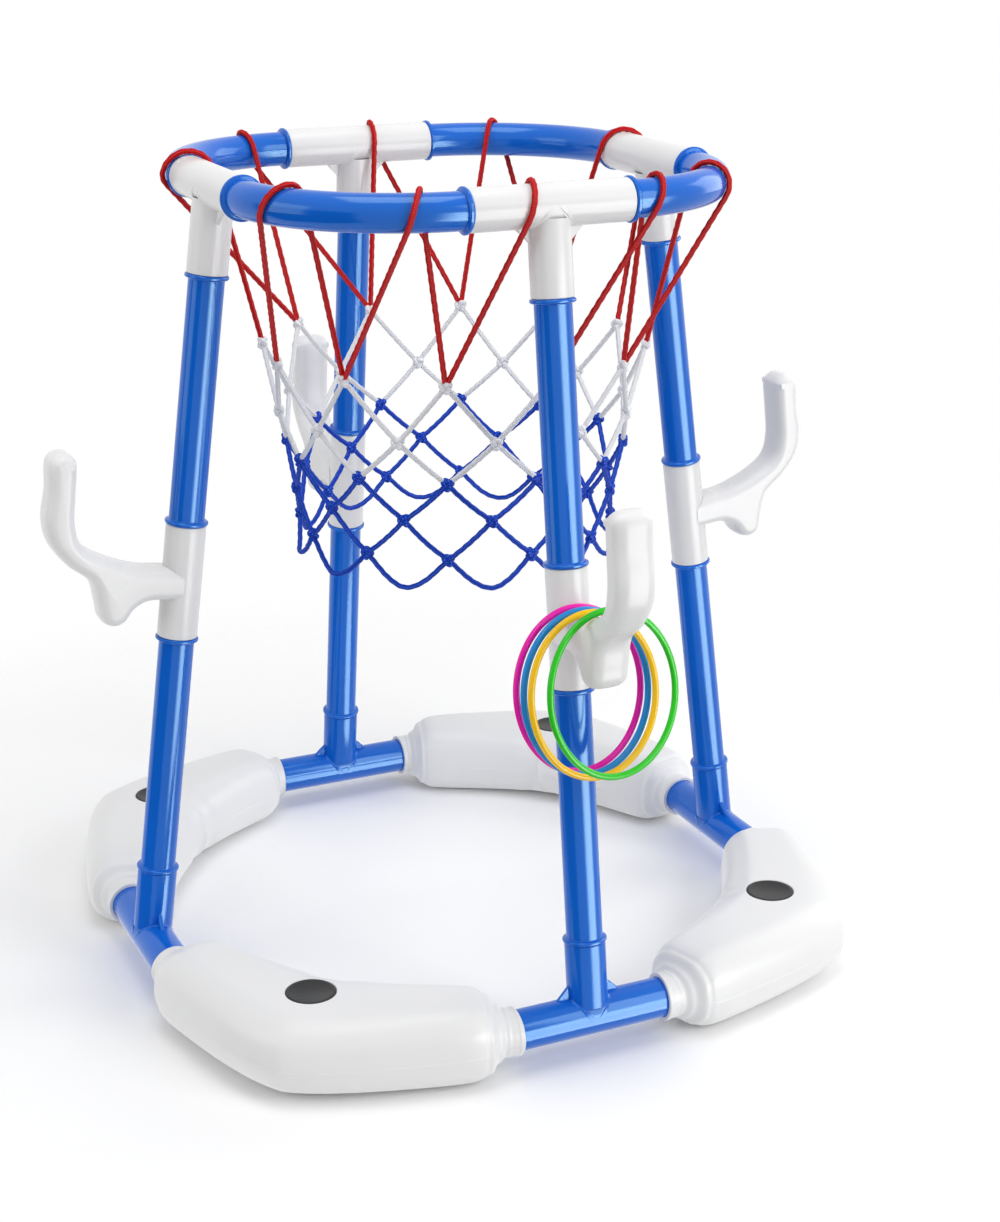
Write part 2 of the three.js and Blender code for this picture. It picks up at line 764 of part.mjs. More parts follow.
// Level distances of the rings' middles from the middle of the sleeve: the first ring's top lies
// against the sleeve, and the last one's is clear of the arm's upturned end at its sides
function ringReaches(edge) {
  const turn = radians(ringTurn);
  const topInward = -onRing(0, ringMiddleRadius).outward;
  const first = (fittingRadius + ringThickness / 2 + ringHang) / Math.cos(turn) + topInward;
  const endPoints = edge.slice(Math.round(-edgeSamples * edgeEndShare));
  const endFace = Math.min(...endPoints.map((point) => point.x));
  const endClearance = hookWidth / 2 * Math.tan(turn) + ringThickness / 2 + ringHang;
  const pitch = (ringThickness + ringApart) / (Math.cos(turn) * Math.cos(radians(ringTilt)));
  const shares = Object.values(ringSpreadShares);
  const room = endFace + topInward - endClearance - first - pitch * (shares.length - 1);
  return shares.map((share, i) => first + i * pitch + share * room);
}

// The rings hang on the front hook's arm, each resting on its upper side, all turned alike
function tossRings() {
  const armMiddle = baseReach - sleeveMiddle * Math.sin(lean);
  const armHeight = baseHeight + sleeveMiddle * Math.cos(lean);
  const edge = standingArmEdge();
  const reaches = ringReaches(edge);
  return Object.keys(ringSpreadShares).map((colour, i) => {
    const aside = ringFirstShift + (reaches[i] - reaches[0]) * Math.tan(radians(ringTurn));
    const height = ringHeight(edge, reaches[i], aside);
    const torus = new THREE.TorusGeometry(ringMiddleRadius, ringThickness / 2, ringSectionSides, ringSides);
    torus.rotateX(Math.PI / 2 - radians(ringTilt)).rotateZ(radians(ringTurn));
    const tint = colour === 'blue' ? colours.ringBlue : colours[colour];
    const ring = named(`toss_ring_${colour}`, torus, plastic(tint, roughness.ring));
    ring.position.set(aside, -(armMiddle + reaches[i]), armHeight + height);
    return ring;
  });
}

function netPanels() {
  const panels = [];
  for (let column = 0; column < netColumns; column += 1) {
    panels.push(named(`net_panel_${column + 1}`, netPanelGeometry(column), cordMaterial()));
  }
  return panels;
}

const hoop = new THREE.Group();
for (const [name, turn] of Object.entries(stations)) hoop.add(stationGroup(name, turn));
for (const [name, turn] of Object.entries(corners)) hoop.add(cornerGroup(name, turn));
hoop.add(...tossRings(), ...netPanels());

export default hoop;
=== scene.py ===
import math
import random

import bmesh
import bpy
from mathutils import Matrix, Vector


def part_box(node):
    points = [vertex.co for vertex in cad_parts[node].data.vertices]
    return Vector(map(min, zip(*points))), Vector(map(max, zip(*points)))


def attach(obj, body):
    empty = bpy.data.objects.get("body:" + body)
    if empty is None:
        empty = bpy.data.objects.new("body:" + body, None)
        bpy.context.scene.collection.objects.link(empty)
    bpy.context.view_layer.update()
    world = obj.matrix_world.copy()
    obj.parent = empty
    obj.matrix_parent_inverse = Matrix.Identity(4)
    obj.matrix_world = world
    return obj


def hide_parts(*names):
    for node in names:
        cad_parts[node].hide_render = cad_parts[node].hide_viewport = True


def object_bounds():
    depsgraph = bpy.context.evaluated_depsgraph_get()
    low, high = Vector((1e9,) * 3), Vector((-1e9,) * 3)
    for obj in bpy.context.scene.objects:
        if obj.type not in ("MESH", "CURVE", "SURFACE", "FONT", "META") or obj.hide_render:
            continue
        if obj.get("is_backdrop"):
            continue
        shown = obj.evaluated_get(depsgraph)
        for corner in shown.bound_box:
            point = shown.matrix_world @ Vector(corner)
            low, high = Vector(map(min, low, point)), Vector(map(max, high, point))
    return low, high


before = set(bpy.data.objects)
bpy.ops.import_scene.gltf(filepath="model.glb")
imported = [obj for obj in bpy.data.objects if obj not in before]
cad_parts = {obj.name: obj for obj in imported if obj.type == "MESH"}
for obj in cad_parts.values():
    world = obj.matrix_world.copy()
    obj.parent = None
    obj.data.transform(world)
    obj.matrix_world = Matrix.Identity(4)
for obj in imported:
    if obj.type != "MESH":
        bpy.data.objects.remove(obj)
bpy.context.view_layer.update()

# Poolside basketball hoop: four leaning legs on a ring of floats, a tubular rim with a knotted net,
# a hook on each leg and four toss rings. Lengths are in metres, +Z is up, and the front leg is on -Y.

FINE = 1

# Stand: reaches from the hoop's middle, and lengths along a leg from the base tee's axis to the rim's
RIM_REACH = 0.200
BASE_REACH = 0.286
BASE_STUB = 0.064
LOWER_TUBE = 0.2145
SLEEVE = 0.0975
UPPER_TUBE = 0.210
RIM_STUB = 0.070
BASE_CROSS_HALF = 0.066
RIM_CROSS_HALF = 0.068
LEG = BASE_STUB + LOWER_TUBE + SLEEVE + UPPER_TUBE + RIM_STUB
LEAN = math.asin((BASE_REACH - RIM_REACH) / LEG)
BASE_HEIGHT = 0.033
RIM_HEIGHT = BASE_HEIGHT + LEG * math.cos(LEAN)

# Tubes and fittings. An edge is the radius of a rounded corner.
TUBE_RADIUS = 0.015
TUBE_BORE = 0.013
TUBE_EDGE = 0.0005
SPIGOT = 0.028
BEAD_RADIUS = 0.01825
BEAD_WIDTH = 0.004
SOCKET_RADIUS = 0.0153
FITTING_RADIUS = 0.017
FITTING_EDGE = 0.0006
GAP = 0.0003
GUSSET_LEG = 0.011
GUSSET_THICKNESS = 0.003
GUSSET_EDGE = 0.0005
GUSSET_FOOT = 0.004
GUSSET_TIP = 0.0004
STUB_START = 0.01
SADDLE_FILLET = 0.0022
SADDLE_FADE = 0.009
SADDLE_SINK = 0.0003
TUBE_SIDES = 64 // FINE

# Floats
FLOAT_MIDDLE_REACH = 0.312
FLOAT_HALF_WIDTH = 0.061
FLOAT_TOP = 0.036
FLOAT_BOTTOM = 0.033
NECK_BORE = 0.0173
NECK_RADIUS = 0.0197
NECK_LEAD = 0.020
MIDDLE_LEAD = 0.034
LIP_HEIGHT = 0.0006
LIP_EDGE = 0.0004
PARTING_STEP = 0.0003
PARTING_RAMP = 0.07
RIPPLE = 0.0006
RIPPLES = 3
MIDDLE_STEP = 0.0006
INNER_BEND_HALF_WIDTH = 0.022
INNER_BEND_INSET = 0.036
INNER_BEND_PASSES = 24

# Places along half a float, from its neck's mouth at 0 to its middle at 1
SOCKET_END = 0.10
LIP_START, LIP_END, NECK_START = 0.005, 0.028, 0.036
RIPPLE_START, RIPPLE_END = 0.09, 0.24
SHOULDER_END = 0.26

# Fill plugs and their wells
PLUG_REACH = 0.305
PLUG_RADIUS = 0.0205
PLUG_HEAD = 0.003
PLUG_STEM_RADIUS = 0.0145
PLUG_STEM = 0.015
PLUG_WALL = 0.0022
PLUG_SIDES = 96 // FINE
WELL_DEPTH = 0.024
WELL_LEDGE = 0.0033
WELL_GAP = 0.0004
WELL_CHAMFER = 0.0012
WELL_OVERRUN = 0.004

# Hooks. The edges of the moulding are rounded over as part of an ellipse.
HOOK_REACH = 0.122
HOOK_RISE = 0.109
HOOK_FOOT = 0.038
HOOK_HALF_WIDTH = 0.01725
HOOK_EDGE_ACROSS = 0.013
HOOK_EDGE_IN_PLANE = 0.0085
HOOK_OUTLINE_SPACING = 0.0016 * FINE
TONGUE_START, TONGUE_END = 0.006, 0.0185
TONGUE_RADIUS = 0.011

# Toss rings
RING_MIDDLE = 0.0643
RING_THICK = 0.0027
RING_TURN = 15.5
RING_TILT = 14

# Net: a cord and its knots have one thickness, and the strands below the loops are a little thinner.
# The net is turned and shifted as in the photograph. Each level is its drop below the rim as a share
# of the net's drop, its reach as a share of the rim's, and its offset in columns. LOOP_TURNS gives
# where each column's loop lies on the rim, in degrees. The two columns over the left and the right
# rim tee have none.
CORD_RADIUS = 0.0023
STRAND_SHARE = 0.92
CORD_GAP = 0.0002
CORD_SPACING = 0.0009 * FINE
CORD_SIDES = 10
KNOT_SIZE = 0.00125
KNOT_DEPTH = 0.0021
WHITE_SAG = (0.0004, 0.0012)
BLUE_SAG = (0.0014, 0.0026)
NET_COLUMNS = 12
NET_TURN = 4
NET_SHIFT = Vector((0.008, -0.0017, 0))
NET_DROP = 0.323
NET_LEVELS = [(0.452, 0.825, 0), (0.607, 0.765, 0.5), (0.715, 0.735, 0), (0.82, 0.7, 0.5), (0.923, 0.685, 0)]
NET_HEM = (1, 0.695, 0.5)
HEM_ALONG, HEM_DOWN = 0.55, 0.75
LOOP_TURNS = [15.5, 55, 86, 120, 162, None, 215.5, 242, 266, 296, 317, None]
LOOP_SOFTNESS = 0.006
BEAD_EASE = 0.005

# Where the legs and the floats stand, in degrees about the hoop's middle
STATIONS = {"front": -90, "right": 0, "back": 90, "left": 180}
CORNERS = {"front_right": -45, "back_right": 45, "back_left": 135, "front_left": 225}


# Numbers and curves
def smooth_between(xs, ys, x):
    """Monotone curve through the points (xs, ys), read at x."""
    count = len(xs)
    slopes = [(ys[i + 1] - ys[i]) / (xs[i + 1] - xs[i]) for i in range(count - 1)]
    ends = [slopes[0]] + [0.0] * (count - 2) + [slopes[-1]]
    for i in range(1, count - 1):
        a, b = slopes[i - 1], slopes[i]
        ends[i] = 0.0 if a * b <= 0 else 2 * a * b / (a + b)
    i = max(k for k in range(count - 1) if xs[k] <= x or k == 0)
    h = xs[i + 1] - xs[i]
    t = min(max((x - xs[i]) / h, 0), 1)
    return (
        (2 * t**3 - 3 * t**2 + 1) * ys[i]
        + (t**3 - 2 * t**2 + t) * h * ends[i]
        + (-2 * t**3 + 3 * t**2) * ys[i + 1]
        + (t**3 - t**2) * h * ends[i + 1]
    )


def through(points, spacing, closed=False):
    """Points at about that spacing along a smooth curve through the given ones."""
    count = len(points)
    spans = count if closed else count - 1
    out = []
    for i in range(spans):
        p0 = points[i - 1] if closed or i else points[0] * 2 - points[1]
        p1 = points[i]
        p2 = points[(i + 1) % count]
        p3 = points[(i + 2) % count] if closed or i + 2 < count else points[-1] * 2 - points[-2]
        steps = max(1, round((p2 - p1).length / spacing))
        for k in range(steps):
            t = k / steps
            out.append(
                0.5 * (2 * p1 + (p2 - p0) * t + (2 * p0 - 5 * p1 + 4 * p2 - p3) * t**2
                       + (3 * p1 - p0 - 3 * p2 + p3) * t**3)
            )
    if not closed:
        out.append(points[-1].copy())
    return out


def rounded(profile, radius, steps=4):
    """A closed profile of (radius, height) points with its corners rounded."""
    points = [Vector((a, b)) for a, b in profile]
    out = []
    for i, corner in enumerate(points):
        before, after = points[i - 1], points[(i + 1) % len(points)]
        to_before, to_after = before - corner, after - corner
        turn = to_before.angle(-to_after)
        if turn < 0.1:
            out.append(corner)
            continue
        start = corner + to_before.normalized() * min(radius, to_before.length * 0.45)
        end = corner + to_after.normalized() * min(radius, to_after.length * 0.45)
        for k in range(steps + 1):
            t = k / steps
            out.append(start * (1 - t) ** 2 + corner * 2 * t * (1 - t) + end * t**2)
    return [(p.x, p.y) for p in out]


# Meshes
class Shape:
    """Vertices and faces of one piece, gathered part by part."""

    def __init__(self):
        self.verts, self.faces, self.paints, self.uvs = [], [], [], []

    def add(self, verts, faces, matrix=None, paint=0, uvs=None):
        """More vertices and faces. paint is the number of their material."""
        base = len(self.verts)
        self.verts += [matrix @ v for v in verts] if matrix else verts
        self.faces += [[base + i for i in face] for face in faces]
        self.paints += [paint] * len(faces)
        self.uvs += uvs or [[(0, 0)] * len(face) for face in faces]
        return self

    def rings(self, rings, matrix=None, paint=0, loop=False, measure=None):
        """A skin over a row of rings. It is capped at both ends, or closed on itself."""
        count, rows = len(rings[0]), len(rings)
        faces, uvs = [], []
        for row in range(rows if loop else rows - 1):
            for i in range(count):
                j, up = (i + 1) % count, (row + 1) % rows
                faces.append([row * count + i, row * count + j, up * count + j, up * count + i])
                if measure:
                    low, high = measure[row], measure[row + 1]
                    left, right = i / count, (i + 1) / count
                    uvs.append([(left, low), (right, low), (right, high), (left, high)])
        if not loop:
            for cap in (list(range(count))[::-1], list(range((rows - 1) * count, rows * count))):
                faces.append(cap)
                uvs.append([(0, 0)] * count)
        return self.add([p for ring in rings for p in ring], faces, matrix, paint, uvs if measure else None)

    def lathe(self, profile, sides, matrix=None, paint=0):
        """A closed profile of (radius, height) points turned about Z."""
        turns = [2 * math.pi * k / sides for k in range(sides)]
        rings = []
        for radius, height in profile:
            reach = max(radius, 1e-6)
            rings.append([Vector((reach * math.cos(t), reach * math.sin(t), height)) for t in turns])
        return self.rings(rings, matrix, paint, loop=True)

    def sweep(self, points, radius, sides, paint=0, loop=False, strands=0, pitch=0.01, depth=0.0):
        """A cord along points. strands, pitch and depth give it the ribs of a laid rope."""
        rings, measure = [], [0.0]
        count = len(points)
        tangents = []
        for i in range(count):
            before = points[i - 1] if loop or i else points[0]
            after = points[(i + 1) % count] if loop or i + 1 < count else points[-1]
            tangents.append((after - before).normalized())
        side = tangents[0].orthogonal().normalized()
        for i, point in enumerate(points):
            if i:
                side = (side - tangents[i] * side.dot(tangents[i])).normalized()
                measure.append(measure[-1] + (point - points[i - 1]).length)
            other = tangents[i].cross(side)
            twist = 2 * math.pi * measure[-1] / pitch
            ring = []
            for k in range(sides):
                turn = 2 * math.pi * k / sides
                swell = radius * (1 + depth * math.cos(strands * turn - twist)) if strands else radius
                ring.append(point + side * swell * math.cos(turn) + other * swell * math.sin(turn))
            rings.append(ring)
        if loop:
            measure.append(measure[-1] + (points[0] - points[-1]).length)
        return self.rings(rings, None, paint, loop, measure)

    def mesh(self, name, sharp=35, weld=True):
        """The finished mesh, smooth but for edges sharper than the given degrees."""
        mesh = bpy.data.meshes.new(name)
        mesh.from_pydata(self.verts, [], self.faces)
        layer = mesh.uv_layers.new(name="Cord")
        flat = [c for face in self.uvs for uv in face for c in uv]
        layer.data.foreach_set("uv", flat)
        mesh.polygons.foreach_set("material_index", self.paints)
        work = bmesh.new()
        work.from_mesh(mesh)
        if weld:
            bmesh.ops.remove_doubles(work, verts=work.verts, dist=2e-6)
            bmesh.ops.dissolve_degenerate(work, edges=work.edges, dist=1e-7)
        bmesh.ops.recalc_face_normals(work, faces=work.faces)
        work.to_mesh(mesh)
        work.free()
        mesh.polygons.foreach_set("use_smooth", [True] * len(mesh.polygons))
        mesh.set_sharp_from_angle(angle=math.radians(sharp))
        return mesh


def place(name, mesh, matrix, materials, body, nodes):
    """One shown piece: its mesh, where it stands, its finish and the CAD nodes it stands for."""
    standing = mesh.copy()
    standing.name = name
    standing.transform(matrix)
    for material in materials:
        standing.materials.append(material)
    piece = bpy.data.objects.new(name, standing)
    bpy.context.scene.collection.objects.link(piece)
    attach(piece, body)
    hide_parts(*nodes)


# Materials
def plastic(name, colour, roughness, level=0.5, waves=0.0, grain=0.0, shade=0.9, glint=(1, 1, 1)):
    """Moulded plastic: a slow drift in tone down to the given shade, a drift in gloss, sink waves in
    the skin and a fine grain. level and glint set how strongly and in what tint it reflects."""
    material = bpy.data.materials.new(name)
    material.use_nodes = True
    nodes, links = material.node_tree.nodes, material.node_tree.links
    shader = nodes["Principled BSDF"]
    shader.inputs["IOR"].default_value = 1.5
    shader.inputs["Specular IOR Level"].default_value = level
    shader.inputs["Specular Tint"].default_value = (*glint, 1)
    where = nodes.new("ShaderNodeTexCoord")

    drift = nodes.new("ShaderNodeTexNoise")
    drift.inputs["Scale"].default_value = 9
    drift.inputs["Detail"].default_value = 2
    links.new(where.outputs["Object"], drift.inputs["Vector"])
    tone = nodes.new("ShaderNodeMix")
    tone.data_type = "RGBA"
    tone.inputs["A"].default_value = (*[c * shade for c in colour], 1)
    tone.inputs["B"].default_value = (*colour, 1)
    spread = nodes.new("ShaderNodeMapRange")
    spread.inputs["From Min"].default_value = 0.35
    spread.inputs["From Max"].default_value = 0.65
    links.new(drift.outputs["Fac"], spread.inputs["Value"])
    links.new(spread.outputs["Result"], tone.inputs["Factor"])
    links.new(tone.outputs["Result"], shader.inputs["Base Color"])

    scuff = nodes.new("ShaderNodeTexNoise")
    scuff.inputs["Scale"].default_value = 25
    scuff.inputs["Detail"].default_value = 1
    links.new(where.outputs["Object"], scuff.inputs["Vector"])
    gloss = nodes.new("ShaderNodeMapRange")
    gloss.inputs["From Min"].default_value = 0.3
    gloss.inputs["From Max"].default_value = 0.7
    gloss.inputs["To Min"].default_value = roughness * 0.95
    gloss.inputs["To Max"].default_value = roughness * 1.05
    links.new(scuff.outputs["Fac"], gloss.inputs["Value"])
    links.new(gloss.outputs["Result"], shader.inputs["Roughness"])

    slow = nodes.new("ShaderNodeTexNoise")
    slow.inputs["Scale"].default_value = 12
    slow.inputs["Detail"].default_value = 0
    links.new(where.outputs["Object"], slow.inputs["Vector"])
    wave = nodes.new("ShaderNodeBump")
    wave.inputs["Strength"].default_value = 1
    wave.inputs["Distance"].default_value = waves
    links.new(slow.outputs["Fac"], wave.inputs["Height"])
    fine = nodes.new("ShaderNodeTexNoise")
    fine.inputs["Scale"].default_value = 900
    fine.inputs["Detail"].default_value = 2
    links.new(where.outputs["Object"], fine.inputs["Vector"])
    skin = nodes.new("ShaderNodeBump")
    skin.inputs["Strength"].default_value = 1
    skin.inputs["Distance"].default_value = grain
    links.new(fine.outputs["Fac"], skin.inputs["Height"])
    links.new(wave.outputs["Normal"], skin.inputs["Normal"])
    links.new(skin.outputs["Normal"], shader.inputs["Normal"])
    return material


def braid(name, dark, light):
    """Braided cord: lighter stitches where the two ways of the braid cross. The UV map "Cord" runs
    once round the cord in X and in metres along it in Y."""
    stitch_length = 0.0028
    turns_round = 2
    material = bpy.data.materials.new(name)
    material.use_nodes = True
    nodes, links = material.node_tree.nodes, material.node_tree.links
    shader = nodes["Principled BSDF"]
    shader.inputs["Roughness"].default_value = 0.62
    shader.inputs["Specular IOR Level"].default_value = 0.15
    along = nodes.new("ShaderNodeUVMap")
    along.uv_map = "Cord"
    parts = nodes.new("ShaderNodeSeparateXYZ")
    links.new(along.outputs["UV"], parts.inputs["Vector"])

    def lay(direction):
        """The threads that wind one way round the cord."""
        turn = nodes.new("ShaderNodeMath")
        turn.operation = "MULTIPLY"
        turn.inputs[1].default_value = 2 * math.pi * turns_round * direction
        links.new(parts.outputs["X"], turn.inputs[0])
        run = nodes.new("ShaderNodeMath")
        run.operation = "MULTIPLY_ADD"
        run.inputs[1].default_value = 2 * math.pi / stitch_length
        links.new(parts.outputs["Y"], run.inputs[0])
        links.new(turn.outputs[0], run.inputs[2])
        wave = nodes.new("ShaderNodeMath")
        wave.operation = "SINE"
        links.new(run.outputs[0], wave.inputs[0])
        return wave

    cross = nodes.new("ShaderNodeMath")
    cross.operation = "MULTIPLY"
    links.new(lay(1).outputs[0], cross.inputs[0])
    links.new(lay(-1).outputs[0], cross.inputs[1])
    stitch = nodes.new("ShaderNodeMapRange")
    stitch.inputs["From Min"].default_value = 0.15
    stitch.inputs["From Max"].default_value = 0.8
    links.new(cross.outputs[0], stitch.inputs["Value"])
    speck = nodes.new("ShaderNodeTexNoise")
    speck.inputs["Scale"].default_value = 700
    where = nodes.new("ShaderNodeTexCoord")
    links.new(where.outputs["Object"], speck.inputs["Vector"])
    # The light colour sits on the braid's raised crossings, broken up by fine noise
    crossing_tone = nodes.new("ShaderNodeMath")
    crossing_tone.operation = "MULTIPLY"
    links.new(stitch.outputs["Result"], crossing_tone.inputs[0])
    links.new(speck.outputs["Fac"], crossing_tone.inputs[1])
    tone = nodes.new("ShaderNodeMix")
    tone.data_type = "RGBA"
    tone.inputs["A"].default_value = (*dark, 1)
    tone.inputs["B"].default_value = (*light, 1)
    links.new(crossing_tone.outputs[0], tone.inputs["Factor"])
    links.new(tone.outputs["Result"], shader.inputs["Base Color"])
    bump = nodes.new("ShaderNodeBump")
    bump.inputs["Strength"].default_value = 1
    bump.inputs["Distance"].default_value = 0.0004
    links.new(cross.outputs[0], bump.inputs["Height"])
    links.new(bump.outputs["Normal"], shader.inputs["Normal"])
    return material


BLUE = plastic("blue_gloss", (0.003, 0.118, 0.60), 0.15, waves=0.00002, grain=0.000001, glint=(0.6, 0.95, 1))
MILKY = (0.77, 0.77, 0.77)
WHITE = plastic("white_gloss", MILKY, 0.22, level=0.2, waves=0.00003, grain=0.000001, shade=0.99)
HOOK_WHITE = plastic("hook_white", MILKY, 0.28, level=0.2, waves=0.00005, grain=0.000001, shade=0.99)
FLOAT_WHITE = plastic("float_white", MILKY, 0.30, level=0.25, waves=0.00005, grain=0.000001, shade=0.99)
PLUG_DARK = plastic("plug_dark", (0.022, 0.022, 0.022), 0.42, level=0.3, waves=0.00005, grain=0.00002)
RED_CORD = braid("red_cord", (0.50, 0.0005, 0.002), (0.90, 0.085, 0.080))
WHITE_CORD = braid("white_cord", (0.80, 0.81, 0.84), (0.96, 0.96, 0.97))
BLUE_CORD = braid("blue_cord", (0.002, 0.040, 0.46), (0.08, 0.26, 0.95))
RING_TINTS = {
    "magenta": (0.88, 0.004, 0.400),
    "blue": (0.006, 0.250, 0.680),
    "yellow": (1.0, 0.58, 0.002),
    "green": (0.020, 0.560, 0.010),
}


# Frames of the stand
def leg_frame(turn):
    """On the base tee's axis, with Z up along the leaning leg and X away from the hoop's middle."""
    stand = Matrix.Translation((BASE_REACH, 0, BASE_HEIGHT)) @ Matrix.Rotation(-LEAN, 4, "Y")
    return Matrix.Rotation(math.radians(turn), 4, "Z") @ stand


def along_leg(turn, height):
    return leg_frame(turn) @ Matrix.Translation((0, 0, height))


# Legs: a tube with a rolled bead where it stops in each fitting
def bead_profile(start, toward):
    """A bead from start on along the tube, with toward 1, or back along it, with toward -1."""
    crown = start + toward * BEAD_WIDTH / 2
    return [
        (TUBE_RADIUS, start),
        (BEAD_RADIUS - 0.0008, start + toward * 0.0001),
        (BEAD_RADIUS, crown - toward * 0.0009),
        (BEAD_RADIUS, crown + toward * 0.0007),
        (BEAD_RADIUS - 0.0010, start + toward * (BEAD_WIDTH - 0.0004)),
        (TUBE_RADIUS, start + toward * BEAD_WIDTH),
    ]


def leg_tube_mesh(length):
    shown = length - 2 * GAP
    profile = [
        (TUBE_BORE, -SPIGOT),
        (TUBE_RADIUS, -SPIGOT),
        *bead_profile(0, 1),
        *reversed(bead_profile(shown, -1)),
        (TUBE_RADIUS, shown + SPIGOT),
        (TUBE_BORE, shown + SPIGOT),
    ]
    return Shape().lathe(rounded(profile, TUBE_EDGE, 3), TUBE_SIDES).mesh("leg_tube")


# Tees: cross pipe along Y, stub along Z, and a gusset in each corner
def gusset(shape):
    """One plate through the tee that fills the corner on both sides of the stub."""
    reach = FITTING_RADIUS + GUSSET_LEG
    tip = FITTING_RADIUS + GUSSET_TIP
    side = [(-reach, GUSSET_FOOT), (reach, GUSSET_FOOT), (reach, tip)]
    side += [(tip, reach), (-tip, reach), (-reach, tip)]
    flat = 1 - 2 * GUSSET_EDGE / GUSSET_THICKNESS
    layers = []
    for across, inset in ((-1, GUSSET_EDGE), (-flat, 0), (flat, 0), (1, GUSSET_EDGE)):
        share = 1 - inset / reach
        layers.append([Vector((across * GUSSET_THICKNESS / 2, y * share, z * share)) for y, z in side])
    shape.rings(layers)


def wall(start, end):
    """The wall of a fitting, as a closed profile."""
    return [(SOCKET_RADIUS, start), (FITTING_RADIUS, start), (FITTING_RADIUS, end), (SOCKET_RADIUS, end)]


def tee_mesh(name, cross_half, stub):
    shape = Shape()
    lying = Matrix.Rotation(math.pi / 2, 4, "X")
    shape.lathe(rounded(wall(-cross_half, cross_half), FITTING_EDGE), TUBE_SIDES, lying)
    shape.lathe(rounded(wall(STUB_START, stub), FITTING_EDGE), TUBE_SIDES)
    gusset(shape)
    saddle(shape)
    return shape.mesh(name)


def saddle(shape):
    """The small fillet where the stub's outside meets the cross pipe's. It fades out where the two
    are level, and its foot sinks a little into the pipe."""
    around, steps = 96 // FINE, 6
    rings = []
    for k in range(around):
        turn = 2 * math.pi * k / around
        out = Vector((math.cos(turn), math.sin(turn), 0))
        across = FITTING_RADIUS * math.cos(turn)
        foot = math.sqrt(max(FITTING_RADIUS**2 - across**2, 0))
        swept = SADDLE_FILLET * min(1, foot / SADDLE_FADE)
        ring = []
        for step in range(steps + 1):
            t = step / steps
            swell = swept * (1 - math.sin(t * math.pi / 2))
            rise = swept * (1 - math.cos(t * math.pi / 2))
            reach = FITTING_RADIUS - SADDLE_SINK + swell
            x = reach * out.x
            y = reach * out.y
            low = math.sqrt(max(FITTING_RADIUS**2 - x * x, 0)) if abs(x) < FITTING_RADIUS else 0
            ring.append(Vector((x, y, max(low, foot if step else low) + rise - SADDLE_SINK)))
        ring.append(Vector((0.8 * FITTING_RADIUS * out.x, 0.8 * FITTING_RADIUS * out.y, foot * 0.9)))
        rings.append(ring)
    shape.rings(rings, loop=True)


def sleeve_mesh():
    half = SLEEVE / 2
    return Shape().lathe(rounded(wall(-half, half), FITTING_EDGE), TUBE_SIDES).mesh("hook_sleeve")


# Rim arc: a quarter turn of tube with a bead at each end
def arc_mesh():
    bend = RIM_REACH - RIM_CROSS_HALF
    length = bend * math.pi / 2
    rows = [(TUBE_BORE, -SPIGOT), (TUBE_RADIUS, -SPIGOT), *bead_profile(GAP, 1)]
    steps = 48 // FINE
    clear = BEAD_WIDTH + 0.002
    spots = [length * i / steps for i in range(1, steps)]
    rows += [(TUBE_RADIUS, spot) for spot in spots if clear < spot < length - clear]
    rows += reversed(bead_profile(length - GAP, -1))
    rows += [(TUBE_RADIUS, length + SPIGOT), (TUBE_BORE, length + SPIGOT)]
    rows += [(TUBE_BORE, length * i / 12) for i in range(12, -1, -1)]
    turns = [2 * math.pi * k / TUBE_SIDES for k in range(TUBE_SIDES)]
    rings = []
    for radius, spot in rows:
        on_bend = min(max(spot, 0), length)
        turn = on_bend / bend
        out = Vector((math.cos(turn), math.sin(turn), 0))
        along = Vector((-math.sin(turn), math.cos(turn), 0))
        centre = Vector((RIM_CROSS_HALF, RIM_CROSS_HALF, 0)) + out * bend + along * (spot - on_bend)
        ring = [out * radius * math.cos(t) + Vector((0, 0, radius * math.sin(t))) for t in turns]
        rings.append([centre + point for point in ring])
    return Shape().rings(rings, loop=True).mesh("rim_arc")


# Hook: the moulding's outline in the plane of the leg, with its edges rounded over. Each corner is a
# share of the reach and a share of the rise above the sleeve's middle (1) or the foot below it (-1).
HOOK_OUTLINE = [
    (0.02, 0.11, 1), (0.16, 0.119, 1), (0.34, 0.125, 1), (0.56, 0.19, 1), (0.73, 0.29, 1), (0.79, 0.45, 1),
    (0.8, 0.66, 1), (0.805, 0.9, 1), (0.83, 0.965, 1), (0.9, 1, 1), (0.975, 0.965, 1), (1, 0.89, 1),
    (0.99, 0.7, 1), (1, 0.48, 1), (0.95, 0.29, 1), (0.82, 0.13, 1), (0.66, 0.005, 1), (0.6, 0.5, -1),
    (0.575, 0.8, -1), (0.535, 0.95, -1), (0.47, 1, -1), (0.4, 0.89, -1), (0.34, 0.6, -1), (0.25, 0.43, -1),
    (0.13, 0.408, -1), (0.02, 0.408, -1),
]


